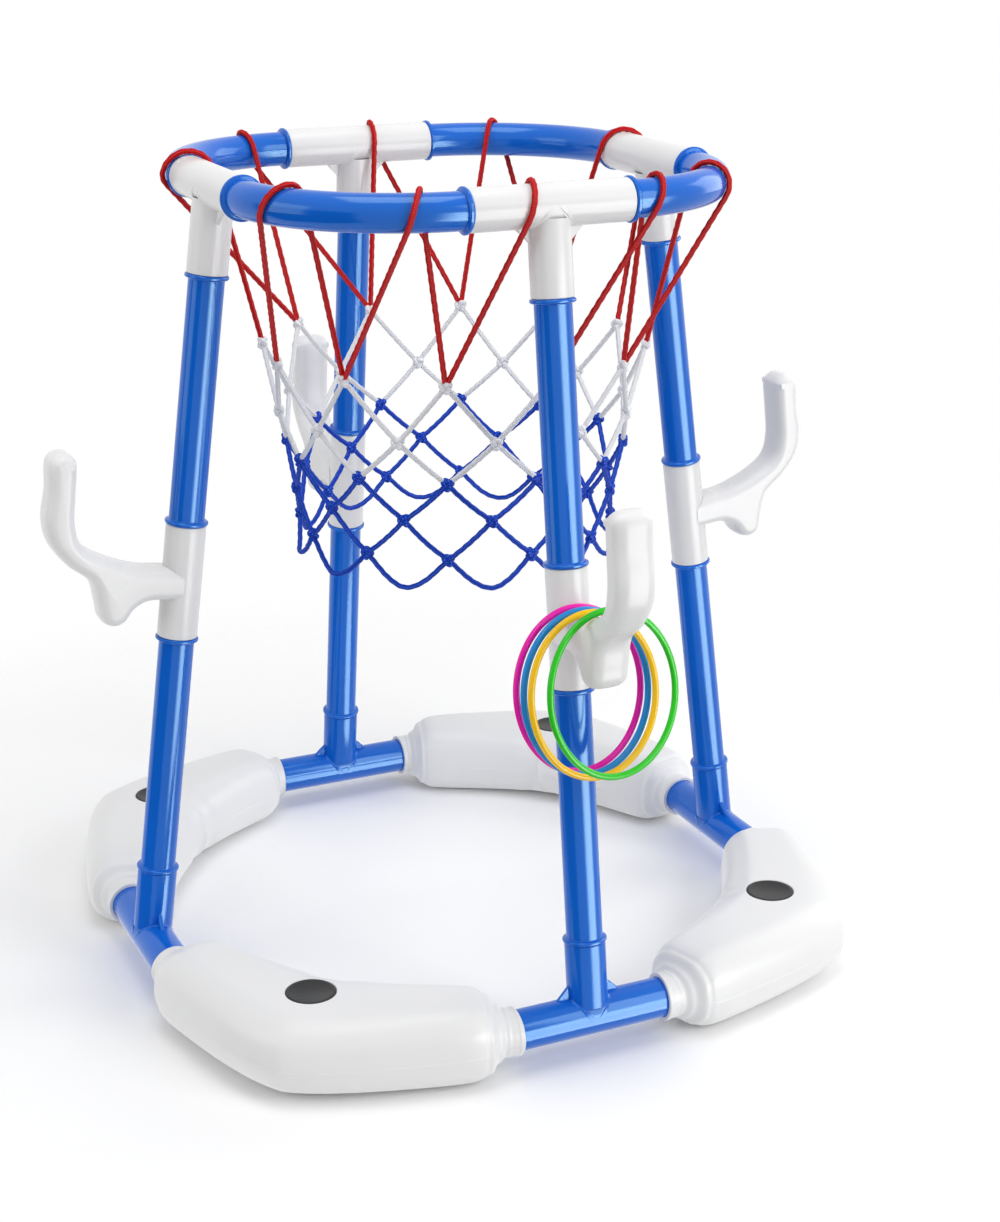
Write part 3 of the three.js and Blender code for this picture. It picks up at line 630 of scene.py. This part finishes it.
def hook_mesh():
    corners = []
    for across, along, side in HOOK_OUTLINE:
        corners.append(Vector((across * HOOK_REACH, along * (HOOK_RISE if side > 0 else -HOOK_FOOT))))
    line = through(corners, HOOK_OUTLINE_SPACING)
    count = len(line)
    normals = []
    for i in range(count):
        along = line[min(i + 1, count - 1)] - line[max(i - 1, 0)]
        normals.append(Vector((along.y, -along.x)).normalized())

    # How far each point can move inward before it meets the outline from the other side
    limits = []
    for i, point in enumerate(line):
        best = 1.0
        for k in range(count):
            to = line[k] - point
            toward = to.dot(normals[i])
            if toward > 1e-5:
                best = min(best, to.length_squared / (2 * toward))
        limits.append(best)
    eased = [min(limits[max(i - 2, 0):i + 3]) for i in range(count)]

    # Layers from one side to the other, each cut off where the sleeve begins
    flat = HOOK_HALF_WIDTH - HOOK_EDGE_ACROSS
    steps = 12 // FINE
    rings = []
    for step in range(-steps, steps + 1):
        beta = math.pi / 2 * abs(step) / steps
        across = math.copysign(flat + HOOK_EDGE_ACROSS * math.sin(beta), step) if step else 0
        inset = HOOK_EDGE_IN_PLANE * (1 - math.cos(beta))
        seat = math.sqrt((FITTING_RADIUS + GAP) ** 2 - across**2)
        ring = []
        for i, point in enumerate(line):
            moved = point + normals[i] * min(inset, eased[i] * 0.96)
            ring.append(Vector((max(moved.x, seat), across, moved.y)))
        rings.append(ring)
    shape = Shape().rings(rings)
    tongue = [(0, TONGUE_START), (TONGUE_RADIUS, TONGUE_START)]
    tongue += [(TONGUE_RADIUS, TONGUE_END), (0, TONGUE_END)]
    shape.lathe(tongue, 48, Matrix.Rotation(math.pi / 2, 4, "Y"))
    return shape.mesh("hook", sharp=50)


# Float: rows of sections along a centre line from one neck's mouth to the middle, then mirrored. Each
# row is a place along the line, the share of the width reached there, and how far the section has
# gone from the neck's round to the body's.
FLOAT_ROWS = [(0, 0, 0), (0.1, 0, 0), (0.16, 0.12, 0.2), (0.21, 0.33, 0.62), (0.29, 0.44, 0.93),
              (0.45, 0.55, 1), (0.72, 0.78, 1), (1, 1, 1)]

# The body's section from its top round to its underside, as shares of its half width and its height
FLOAT_SECTION = [(0, 1), (0.42, 0.995), (0.77, 0.8), (0.945, 0.48), (1, 0),
                 (0.945, -0.48), (0.77, -0.79), (0.42, -1), (0, -1)]

# The places round half a section, closer together at the parting line, which lies at 4
FLOAT_SAMPLES = [k / 4 for k in range(1, 15)]
FLOAT_SAMPLES += [3.72, 3.84, 3.92, 3.97, 4.0, 4.02, 4.045, 4.07, 4.16]
FLOAT_SAMPLES += [k / 4 for k in range(17, 32)]


def float_line(place_share):
    """A point of the float's centre line, a Bezier curve, and its direction there."""
    out, back = BASE_CROSS_HALF + GAP + BASE_REACH, BASE_REACH - BASE_CROSS_HALF - GAP
    mouth = Vector((out / math.sqrt(2), -back / math.sqrt(2), 0))
    into = Vector((1, 1, 0)).normalized()
    middle = Vector((FLOAT_MIDDLE_REACH, 0, 0))
    a, b, c, d = mouth, mouth + into * NECK_LEAD, middle - Vector((0, MIDDLE_LEAD, 0)), middle
    t = place_share
    point = a * (1 - t) ** 3 + b * 3 * t * (1 - t) ** 2 + c * 3 * t * t * (1 - t) + d * t**3
    along = (b - a) * 3 * (1 - t) ** 2 + (c - b) * 6 * t * (1 - t) + (d - c) * 3 * t * t
    return point, along.normalized()


def float_ring(place_share, samples, round_radius=None):
    """One section of the float. samples are places round it with a side, 1 or -1."""
    centre, along = float_line(place_share)
    outward = Vector((along.y, -along.x, 0))
    places = [row[0] for row in FLOAT_ROWS]
    width = smooth_between(places, [row[1] for row in FLOAT_ROWS], place_share)
    height = smooth_between(places, [row[2] for row in FLOAT_ROWS], place_share)
    neck = round_radius or NECK_RADIUS
    half_width = neck + (FLOAT_HALF_WIDTH - neck) * width
    index = list(range(len(FLOAT_SECTION)))
    ring = []
    for sample, side in samples:
        turn = sample / 8 * math.pi
        across = smooth_between(index, [s[0] for s in FLOAT_SECTION], sample)
        up = smooth_between(index, [s[1] for s in FLOAT_SECTION], sample)
        round_point = Vector((side * math.sin(turn) * half_width, math.cos(turn) * neck))
        full = Vector((side * across * half_width, up * (FLOAT_TOP if up > 0 else FLOAT_BOTTOM)))
        point = round_point.lerp(full, height)
        if RIPPLE_START < place_share < RIPPLE_END:
            run = (place_share - RIPPLE_START) / (RIPPLE_END - RIPPLE_START)
            point += point.normalized() * RIPPLE * math.sin(2 * math.pi * RIPPLES * run)
        if sample > 4 and height > 0:
            step = PARTING_STEP * min(1, (sample - 4) / PARTING_RAMP) * min(1, abs(across) * 1.6)
            point.x += side * step * height
        ring.append(centre + outward * point.x + Vector((0, 0, point.y)))
    return ring


def float_blank():
    """The whole float without the well for its plug."""
    samples = [(0, 1), *[(at, 1) for at in FLOAT_SAMPLES]]
    samples += [(8, 1), *[(at, -1) for at in reversed(FLOAT_SAMPLES)]]
    lip = NECK_RADIUS + LIP_HEIGHT
    rows = [(SOCKET_END, NECK_BORE), (0.0, NECK_BORE), (0.0, lip - LIP_EDGE)]
    rows += [(LIP_START, lip), (LIP_END, lip), (NECK_START, NECK_RADIUS)]
    shoulder = body = 36 // FINE
    neck_run = SHOULDER_END - NECK_START
    rows += [(NECK_START + neck_run * k / shoulder, None) for k in range(1, shoulder + 1)]
    rows += [(SHOULDER_END + (1 - SHOULDER_END) * k / body, None) for k in range(1, body + 1)]
    rings = [float_ring(place_share, samples, radius) for place_share, radius in rows]

    # Sections that lean past the middle on the inside of the bend are held back in their order
    for back, ring in enumerate(reversed(rings)):
        for point in ring:
            point.y = min(point.y, -MIDDLE_STEP * FINE * back)
    rest = [[Vector((p.x, -p.y, p.z)) for p in ring] for ring in reversed(rings[:-1])]
    return Shape().rings(rings + rest).mesh("float_blank", weld=False)


def well_cut():
    """What is cut out of the float for its plug: a ledge with a chamfer, and a bore below it."""
    bore, ledge = PLUG_STEM_RADIUS + GAP, PLUG_RADIUS + WELL_GAP
    mouth, over = PLUG_RADIUS + WELL_CHAMFER, FLOAT_TOP + WELL_OVERRUN
    profile = [
        (0, FLOAT_TOP - WELL_DEPTH),
        (bore, FLOAT_TOP - WELL_DEPTH),
        (bore, FLOAT_TOP - WELL_LEDGE),
        (ledge, FLOAT_TOP - WELL_LEDGE),
        (ledge, FLOAT_TOP - 0.0006),
        (mouth, FLOAT_TOP + 0.0002),
        (mouth, over),
        (0, over),
    ]
    return Shape().lathe(profile, PLUG_SIDES, Matrix.Translation((PLUG_REACH, 0, 0))).mesh("well_cut")


def float_mesh():
    blank = bpy.data.objects.new("float_blank", float_blank())
    cutter = bpy.data.objects.new("well_cut", well_cut())
    for helper in (blank, cutter):
        bpy.context.scene.collection.objects.link(helper)
    cut = blank.modifiers.new("well", "BOOLEAN")
    cut.operation = "DIFFERENCE"
    cut.solver = "EXACT"
    cut.object = cutter
    view = bpy.context.evaluated_depsgraph_get()
    made = bpy.data.meshes.new_from_object(blank.evaluated_get(view))
    for helper in (blank, cutter):
        bpy.data.objects.remove(helper)
    made.name = "float"
    made.materials.clear()

    # The inside of the bend, where the sections crowd, is smoothed into one round
    work = bmesh.new()
    work.from_mesh(made)
    deep = FLOAT_MIDDLE_REACH - INNER_BEND_INSET
    inner = [v for v in work.verts if abs(v.co.y) < INNER_BEND_HALF_WIDTH and v.co.x < deep]
    for _ in range(INNER_BEND_PASSES):
        bmesh.ops.smooth_vert(
            work, verts=inner, factor=0.5, use_axis_x=True, use_axis_y=True, use_axis_z=True
        )
    work.to_mesh(made)
    work.free()
    made.polygons.foreach_set("use_smooth", [True] * len(made.polygons))
    made.set_sharp_from_angle(angle=math.radians(32))
    return made


def plug_mesh():
    """A hollow stem under a flat head, with a low rim round the head's face. Z is 0 at the rim's top."""
    foot = -PLUG_HEAD - PLUG_STEM
    profile = [
        (0, -0.001),
        (0, -PLUG_HEAD),
        (PLUG_STEM_RADIUS - PLUG_WALL, -PLUG_HEAD),
        (PLUG_STEM_RADIUS - PLUG_WALL, foot),
        (PLUG_STEM_RADIUS, foot),
        (PLUG_STEM_RADIUS, -PLUG_HEAD),
        (PLUG_RADIUS, -PLUG_HEAD),
        (PLUG_RADIUS, -0.0009),
        (PLUG_RADIUS - 0.0004, -0.0003),
        (PLUG_RADIUS - 0.0012, 0),
        (PLUG_RADIUS - 0.0028, 0),
        (PLUG_RADIUS - 0.0036, -0.0005),
        (0, -0.0005),
    ]
    return Shape().lathe(profile, PLUG_SIDES).mesh("fill_plug")


# Toss rings
def ring_mesh(colour):
    points = []
    count = 128 // FINE
    for k in range(count):
        turn = 2 * math.pi * k / count
        points.append(Vector((RING_MIDDLE * math.cos(turn), 0, RING_MIDDLE * math.sin(turn))))
    return Shape().sweep(points, RING_THICK, 20, loop=True).mesh(f"ring_{colour}")


# Net
def net_place(column, level):
    """Where the knot of a column lies on a level."""
    drop, reach, offset = level
    turn = math.radians(NET_TURN + (column + offset) * 360 / NET_COLUMNS)
    flat = reach * RIM_REACH
    return NET_SHIFT + Vector((flat * math.cos(turn), flat * math.sin(turn), RIM_HEIGHT - drop * NET_DROP))


def rim_at(angle):
    """The rim's axis in a direction from the hoop's middle, its outward way, and its radius."""
    quarter = round(angle / 90) * 90
    off = math.radians(angle - quarter)
    if abs(math.tan(off)) * RIM_REACH < RIM_CROSS_HALF:
        turned = Matrix.Rotation(math.radians(quarter), 3, "Z")
        spot = turned @ Vector((RIM_REACH, RIM_REACH * math.tan(off), 0))
        return spot, turned @ Vector((1, 0, 0)), FITTING_RADIUS
    direction = Vector((math.cos(math.radians(angle)), math.sin(math.radians(angle)), 0))
    centre = Vector([math.copysign(RIM_CROSS_HALF, part) for part in direction.to_2d()]).to_3d()
    bend = RIM_REACH - RIM_CROSS_HALF
    along = direction.dot(centre)
    spot = direction * (along + math.sqrt(bend**2 - centre.length_squared + along**2))
    return spot, (spot - centre).normalized(), TUBE_RADIUS


def rim_clearance(angle):
    """The radius that a cord has to pass over at this place on the rim, beads included."""
    off = math.radians(angle - round(angle / 90) * 90)
    past_tee = abs(math.tan(off)) * RIM_REACH - RIM_CROSS_HALF
    outside_bead = max(-past_tee, past_tee - BEAD_WIDTH, 0) - CORD_RADIUS * 0.6
    ease = min(1, max(0, outside_bead / BEAD_EASE))
    base = rim_at(angle)[2]
    return base + (BEAD_RADIUS - base) * (1 - ease * ease * (3 - 2 * ease))


def loop_path(column):
    """From a column's first knot up outside the rim, slanting over it, and down inside it to the
    next column's."""
    turned_to = LOOP_TURNS[column]
    spot, outward, radius = rim_at(turned_to)
    wrap = radius + CORD_RADIUS + CORD_GAP
    centre = spot + Vector((0, 0, RIM_HEIGHT))
    along = Vector((0, 0, 1)).cross(outward)

    def leg_of(knot, side):
        """Where a straight leg from the knot touches the rim, as a turn about its axis, and its slant."""
        away = knot - centre
        flat = Vector((away.dot(outward), away.z))
        touch = math.atan2(flat.y, flat.x) + side * math.acos(wrap / flat.length)
        touch += 2 * math.pi * round((math.pi / 2 * (1 - side) - touch) / (2 * math.pi))
        unrolled = math.sqrt(flat.length_squared - wrap**2) + wrap * abs(touch - math.pi / 2)
        return touch, away.dot(along) / unrolled

    start, end = net_place(column, NET_LEVELS[0]), net_place(column + 1, NET_LEVELS[0])
    (low, slant_start), (high, slant_end) = leg_of(start, 1), leg_of(end, -1)

    def over_rim(turn):
        """A point of the cord on the rim: it slants towards both knots, and turns softly at the top."""
        way = wrap * (turn - math.pi / 2)
        soft = math.sqrt(way**2 + LOOP_SOFTNESS**2) - LOOP_SOFTNESS
        slid = (slant_end - slant_start) / 2 * way + (slant_end + slant_start) / 2 * soft
        angle = turned_to + math.degrees(slid / spot.length)
        here, out, _ = rim_at(angle)
        reach = rim_clearance(angle) + CORD_RADIUS + CORD_GAP
        return here + out * reach * math.cos(turn) + Vector((0, 0, RIM_HEIGHT + reach * math.sin(turn)))

    steps, leg_steps = 26, 12
    over = [over_rim(low + (high - low) * k / steps) for k in range(steps + 1)]
    up = [start.lerp(over[0], k / leg_steps) for k in range(leg_steps)]
    down = [over[-1].lerp(end, k / leg_steps) for k in range(1, leg_steps + 1)]
    return up + over + down


def sagging(start, end, sag):
    """A cord between two knots that droops a little."""
    middle = start.lerp(end, 0.5)
    quarter = Vector((0, 0, -sag * 0.75))
    return [start, start.lerp(middle, 0.5) + quarter, middle + Vector((0, 0, -sag)),
            middle.lerp(end, 0.5) + quarter, end]


def knot(shape, place_at, outward, paint, rng):
    """A pulled knot: a trefoil of cord drawn tight, turned a little at random."""
    side = Vector((0, 0, 1)).cross(outward).normalized()
    tilt = Matrix.Rotation(rng.uniform(-0.5, 0.5), 3, outward)
    points = []
    count = 44 // FINE
    for k in range(count):
        t = 2 * math.pi * k / count
        x, y = math.sin(t) + 2 * math.sin(2 * t), math.cos(t) - 2 * math.cos(2 * t)
        z = -math.sin(3 * t)
        offset = tilt @ (side * x * KNOT_SIZE + Vector((0, 0, y * KNOT_SIZE * 1.1)))
        points.append(place_at + offset + outward * z * KNOT_DEPTH)
    shape.sweep(points, CORD_RADIUS, 10, paint, loop=True, strands=2, pitch=0.0045, depth=0.08)


def net_mesh():
    """The net, with its red loops, white rows and blue rows as materials 0, 1 and 2."""
    shape = Shape()
    rng = random.Random(7)
    rope = {"strands": 3, "pitch": 0.0085, "depth": 0.07}

    def strand(points, radius, paint):
        shape.sweep(through(points, CORD_SPACING), radius, CORD_SIDES, paint, **rope)

    for column in range(NET_COLUMNS):
        if LOOP_TURNS[column] is not None:
            strand(loop_path(column), CORD_RADIUS, 0)
        for row, level in enumerate(NET_LEVELS):
            here = net_place(column, level)
            outward = (here - NET_SHIFT).to_2d().to_3d().normalized()
            knot(shape, here, outward, 1 if row < 2 else 2, rng)
            if row == 0:
                continue
            neighbour = column + 1 if level[2] else column - 1
            for above in (column, neighbour):
                sag = rng.uniform(*(WHITE_SAG if row < 3 else BLUE_SAG))
                path = sagging(net_place(above, NET_LEVELS[row - 1]), here, sag)
                strand(path, CORD_RADIUS * STRAND_SHARE, 1 if row < 3 else 2)

        # The hem: one scallop from this column's lowest knot to the next one's
        start, end = net_place(column, NET_LEVELS[-1]), net_place(column + 1, NET_LEVELS[-1])
        low = net_place(column, NET_HEM)
        droop = [start.lerp(low, HEM_ALONG), end.lerp(low, HEM_ALONG)]
        for point, source in zip(droop, (start, end)):
            point.z = source.z + (low.z - source.z) * HEM_DOWN
        strand([start, droop[0], low, droop[1], end], CORD_RADIUS * STRAND_SHARE, 2)
    return shape.mesh("net", sharp=80, weld=False)


# The pieces in their places
lower_tube, upper_tube = leg_tube_mesh(LOWER_TUBE), leg_tube_mesh(UPPER_TUBE)
base_tee = tee_mesh("base_tee", BASE_CROSS_HALF + SPIGOT, BASE_STUB)
rim_tee = tee_mesh("rim_tee", RIM_CROSS_HALF, RIM_STUB)
sleeve, hook, arc = sleeve_mesh(), hook_mesh(), arc_mesh()
for side, turn in STATIONS.items():
    base = leg_frame(turn)
    place(f"tee_base_{side}", base_tee, base, [BLUE], "stand", [f"base_tee_{side}"])
    lower = along_leg(turn, BASE_STUB + GAP)
    place(f"tube_low_{side}", lower_tube, lower, [BLUE], "stand", [f"lower_leg_{side}"])
    middle = along_leg(turn, BASE_STUB + LOWER_TUBE + SLEEVE / 2)
    place(f"sleeve_{side}", sleeve, middle, [WHITE], "stand", [f"hook_sleeve_{side}"])
    place(f"peg_{side}", hook, middle, [HOOK_WHITE], "stand", [f"hook_{side}"])
    upper = along_leg(turn, BASE_STUB + LOWER_TUBE + SLEEVE + GAP)
    place(f"tube_high_{side}", upper_tube, upper, [BLUE], "stand", [f"upper_leg_{side}"])
    top = along_leg(turn, LEG) @ Matrix.Rotation(math.pi, 4, "X")
    place(f"tee_rim_{side}", rim_tee, top, [WHITE], "stand", [f"rim_tee_{side}"])
    bend = Matrix.Rotation(math.radians(turn), 4, "Z") @ Matrix.Translation((0, 0, RIM_HEIGHT))
    place(f"arc_after_{side}", arc, bend, [BLUE], "stand", [f"rim_arc_after_{side}"])

float_shell, plug = float_mesh(), plug_mesh()
for corner, turn in CORNERS.items():
    where = Matrix.Rotation(math.radians(turn), 4, "Z") @ Matrix.Translation((0, 0, BASE_HEIGHT))
    nodes = [f"float_{corner}"]
    place(f"shell_{corner}", float_shell, where, [FLOAT_WHITE], "stand", nodes)
    seat = where @ Matrix.Translation((PLUG_REACH, 0, FLOAT_TOP))
    nodes = [f"fill_plug_{corner}"]
    place(f"plug_{corner}", plug, seat, [PLUG_DARK], f"plug_{corner}", nodes)

# The rings hang where the CAD has hung them on the front hook
tilted = Matrix.Rotation(math.radians(RING_TURN), 4, "Z") @ Matrix.Rotation(math.radians(-RING_TILT), 4, "X")
for colour, tint in RING_TINTS.items():
    low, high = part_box(f"toss_ring_{colour}")
    at = Matrix.Translation((low + high) / 2) @ tilted
    finish = plastic(f"ring_{colour}", tint, 0.2, level=0.25, waves=0.00004, grain=0.000003)
    name, nodes = f"ring_{colour}", [f"toss_ring_{colour}"]
    place(f"hoop_{colour}", ring_mesh(colour), at, [finish], name, nodes)

panels = [f"net_panel_{k + 1}" for k in range(NET_COLUMNS)]
place("net", net_mesh(), Matrix.Identity(4), [RED_CORD, WHITE_CORD, BLUE_CORD], "stand", panels)


# Studio
def sheet(name, wide, high):
    """A flat rectangle about its own middle, given by half its width and half its height."""
    mesh = bpy.data.meshes.new(name)
    corners = [(-wide, -high, 0), (wide, -high, 0), (wide, high, 0), (-wide, high, 0)]
    mesh.from_pydata(corners, [], [[0, 1, 2, 3]])
    return mesh


def aim_at(thing, spot, aim):
    """Puts a lamp or a card on its spot, facing the aim."""
    thing.location = spot
    thing.rotation_mode = "QUATERNION"
    thing.rotation_quaternion = (Vector(aim) - Vector(spot)).to_track_quat("-Z", "Y")


def floor():
    """A pale floor just under the feet. It fades into the white backdrop with distance, and is clear
    to reflections, so that the tubes mirror the backdrop."""
    below, half, fade_start, fade_end = 0.0004, 3.2, 0.45, 1.0
    mesh = sheet("floor", half, half)
    plane = bpy.data.objects.new("floor", mesh)
    plane.location.z = -below
    bpy.context.scene.collection.objects.link(plane)
    material = bpy.data.materials.new("floor")
    material.use_nodes = True
    nodes, links = material.node_tree.nodes, material.node_tree.links
    shader = nodes["Principled BSDF"]
    shader.inputs["Roughness"].default_value = 0.5
    shader.inputs["Specular IOR Level"].default_value = 0.25
    where = nodes.new("ShaderNodeTexCoord")
    mottle = nodes.new("ShaderNodeTexNoise")
    mottle.inputs["Scale"].default_value = 3
    links.new(where.outputs["Object"], mottle.inputs["Vector"])
    tone = nodes.new("ShaderNodeMix")
    tone.data_type = "RGBA"
    tone.inputs["A"].default_value = (0.94, 0.94, 0.94, 1)
    tone.inputs["B"].default_value = (0.95, 0.95, 0.95, 1)
    links.new(mottle.outputs["Fac"], tone.inputs["Factor"])
    links.new(tone.outputs["Result"], shader.inputs["Base Color"])
    reach = nodes.new("ShaderNodeVectorMath")
    reach.operation = "LENGTH"
    links.new(where.outputs["Object"], reach.inputs[0])
    fade = nodes.new("ShaderNodeMapRange")
    fade.interpolation_type = "SMOOTHSTEP"
    fade.inputs["From Min"].default_value = fade_start
    fade.inputs["From Max"].default_value = fade_end
    links.new(reach.outputs["Value"], fade.inputs["Value"])
    clear = nodes.new("ShaderNodeBsdfTransparent")
    blend = nodes.new("ShaderNodeMixShader")
    ray = nodes.new("ShaderNodeLightPath")
    passed = nodes.new("ShaderNodeMath")
    passed.operation = "MAXIMUM"
    links.new(fade.outputs["Result"], passed.inputs[0])
    links.new(ray.outputs["Is Glossy Ray"], passed.inputs[1])
    links.new(passed.outputs[0], blend.inputs[0])
    links.new(shader.outputs["BSDF"], blend.inputs[1])
    links.new(clear.outputs["BSDF"], blend.inputs[2])
    links.new(blend.outputs["Shader"], nodes["Material Output"].inputs["Surface"])
    mesh.materials.append(material)
    plane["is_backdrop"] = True


def backdrop():
    """A world that is white where it is seen and a soft grey where it lights the object."""
    world = bpy.data.worlds.new("studio")
    bpy.context.scene.world = world
    world.use_nodes = True
    nodes, links = world.node_tree.nodes, world.node_tree.links
    sky = nodes["Background"]
    sky.inputs["Strength"].default_value = 1
    ray = nodes.new("ShaderNodeLightPath")
    shown = nodes.new("ShaderNodeMath")
    shown.operation = "MAXIMUM"
    links.new(ray.outputs["Is Camera Ray"], shown.inputs[0])
    links.new(ray.outputs["Is Glossy Ray"], shown.inputs[1])
    through_glass = nodes.new("ShaderNodeMath")
    through_glass.operation = "MAXIMUM"
    links.new(shown.outputs[0], through_glass.inputs[0])
    links.new(ray.outputs["Is Transmission Ray"], through_glass.inputs[1])
    seen = nodes.new("ShaderNodeMix")
    seen.data_type = "RGBA"
    seen.inputs["A"].default_value = (0.52, 0.52, 0.52, 1)
    seen.inputs["B"].default_value = (1, 1, 1, 1)
    links.new(through_glass.outputs[0], seen.inputs["Factor"])
    links.new(seen.outputs["Result"], sky.inputs["Color"])


def lamp(name, spot, aim, size, power):
    """A white softbox of the given width and height in metres, and power in watts."""
    data = bpy.data.lights.new(name, "AREA")
    data.shape = "RECTANGLE"
    data.size, data.size_y = size
    data.energy = power
    light = bpy.data.objects.new(name, data)
    aim_at(light, spot, aim)
    light.visible_camera = False
    bpy.context.scene.collection.objects.link(light)


def card(name, spot, aim, size, strength, soft):
    """A studio card that only reflections see: a glowing one puts a painted highlight into reflections, and
    at strength 0 a black one puts painted shade there. soft is the share of its width that fades out at each
    side."""
    wide, high = size[0] / 2, size[1] / 2
    mesh = sheet(name, wide, high)
    material = bpy.data.materials.new(name)
    material.use_nodes = True
    nodes, links = material.node_tree.nodes, material.node_tree.links
    nodes.remove(nodes["Principled BSDF"])
    where = nodes.new("ShaderNodeTexCoord")
    parts = nodes.new("ShaderNodeSeparateXYZ")
    links.new(where.outputs["Object"], parts.inputs["Vector"])
    across = nodes.new("ShaderNodeMath")
    across.operation = "ABSOLUTE"
    links.new(parts.outputs["X"], across.inputs[0])
    shown = nodes.new("ShaderNodeMapRange")
    shown.interpolation_type = "SMOOTHSTEP"
    shown.inputs["From Min"].default_value = wide
    shown.inputs["From Max"].default_value = wide * (1 - 2 * soft)
    links.new(across.outputs[0], shown.inputs["Value"])
    glow = nodes.new("ShaderNodeEmission")
    clear = nodes.new("ShaderNodeBsdfTransparent")
    blend = nodes.new("ShaderNodeMixShader")
    glow.inputs["Strength"].default_value = strength
    links.new(shown.outputs["Result"], blend.inputs[0])
    links.new(clear.outputs["BSDF"], blend.inputs[1])
    links.new(glow.outputs["Emission"], blend.inputs[2])
    links.new(blend.outputs["Shader"], nodes["Material Output"].inputs["Surface"])
    mesh.materials.append(material)
    board = bpy.data.objects.new(name, mesh)
    aim_at(board, spot, aim)
    board.visible_camera = board.visible_diffuse = board.visible_shadow = False
    bpy.context.scene.collection.objects.link(board)
    board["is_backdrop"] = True


def camera():
    """The camera where the photograph was taken from."""
    data = bpy.data.cameras.new("camera")
    data.lens, data.sensor_width = 64.66, 36
    data.clip_start, data.clip_end = 0.05, 50
    eye = bpy.data.objects.new("camera", data)
    forward = Vector((0.3979, 0.8570, -0.3274)).normalized()
    right = Vector((0.9070, -0.4211, 0)).normalized()
    up = right.cross(forward)
    turn = Matrix((right, up, -forward)).transposed().to_4x4()
    eye.matrix_world = Matrix.Translation((-0.7392, -1.7055, 0.9378)) @ turn
    bpy.context.scene.collection.objects.link(eye)
    bpy.context.scene.camera = eye


floor()
backdrop()

# Each lamp: its place, what it faces, its width and height, and its power
lamp("key", (1.2, -1.9, 1.35), (0, 0, 0.35), (1.2, 1.6), 24)
lamp("fill_right", (1.9, 0.2, 1.0), (0, 0, 0.3), (1.0, 1.4), 10)
lamp("fill_left", (-1.9, 0.1, 0.8), (0, 0, 0.3), (1.0, 1.4), 8)
lamp("top", (-0.1, -0.2, 2.6), (0, 0, 0.3), (1.4, 1.4), 21)

# Each card: its place, what it faces, its width and height, its strength and its soft share
# The bright card lays a painted highlight and the dark card painted shade into the reflections; neither is
# seen by the camera or casts a shadow
card("bright_card", (1.62, -3.06, -0.9), (0, 0, -0.9), (4.0, 3.4), 12, 0.35)
card("dark_card", (-2.38, -0.31, -0.55), (0, 0, -0.55), (3.65, 3.3), 0, 0.1)

camera()
bpy.context.scene.view_settings.view_transform = "Standard"

low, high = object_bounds()
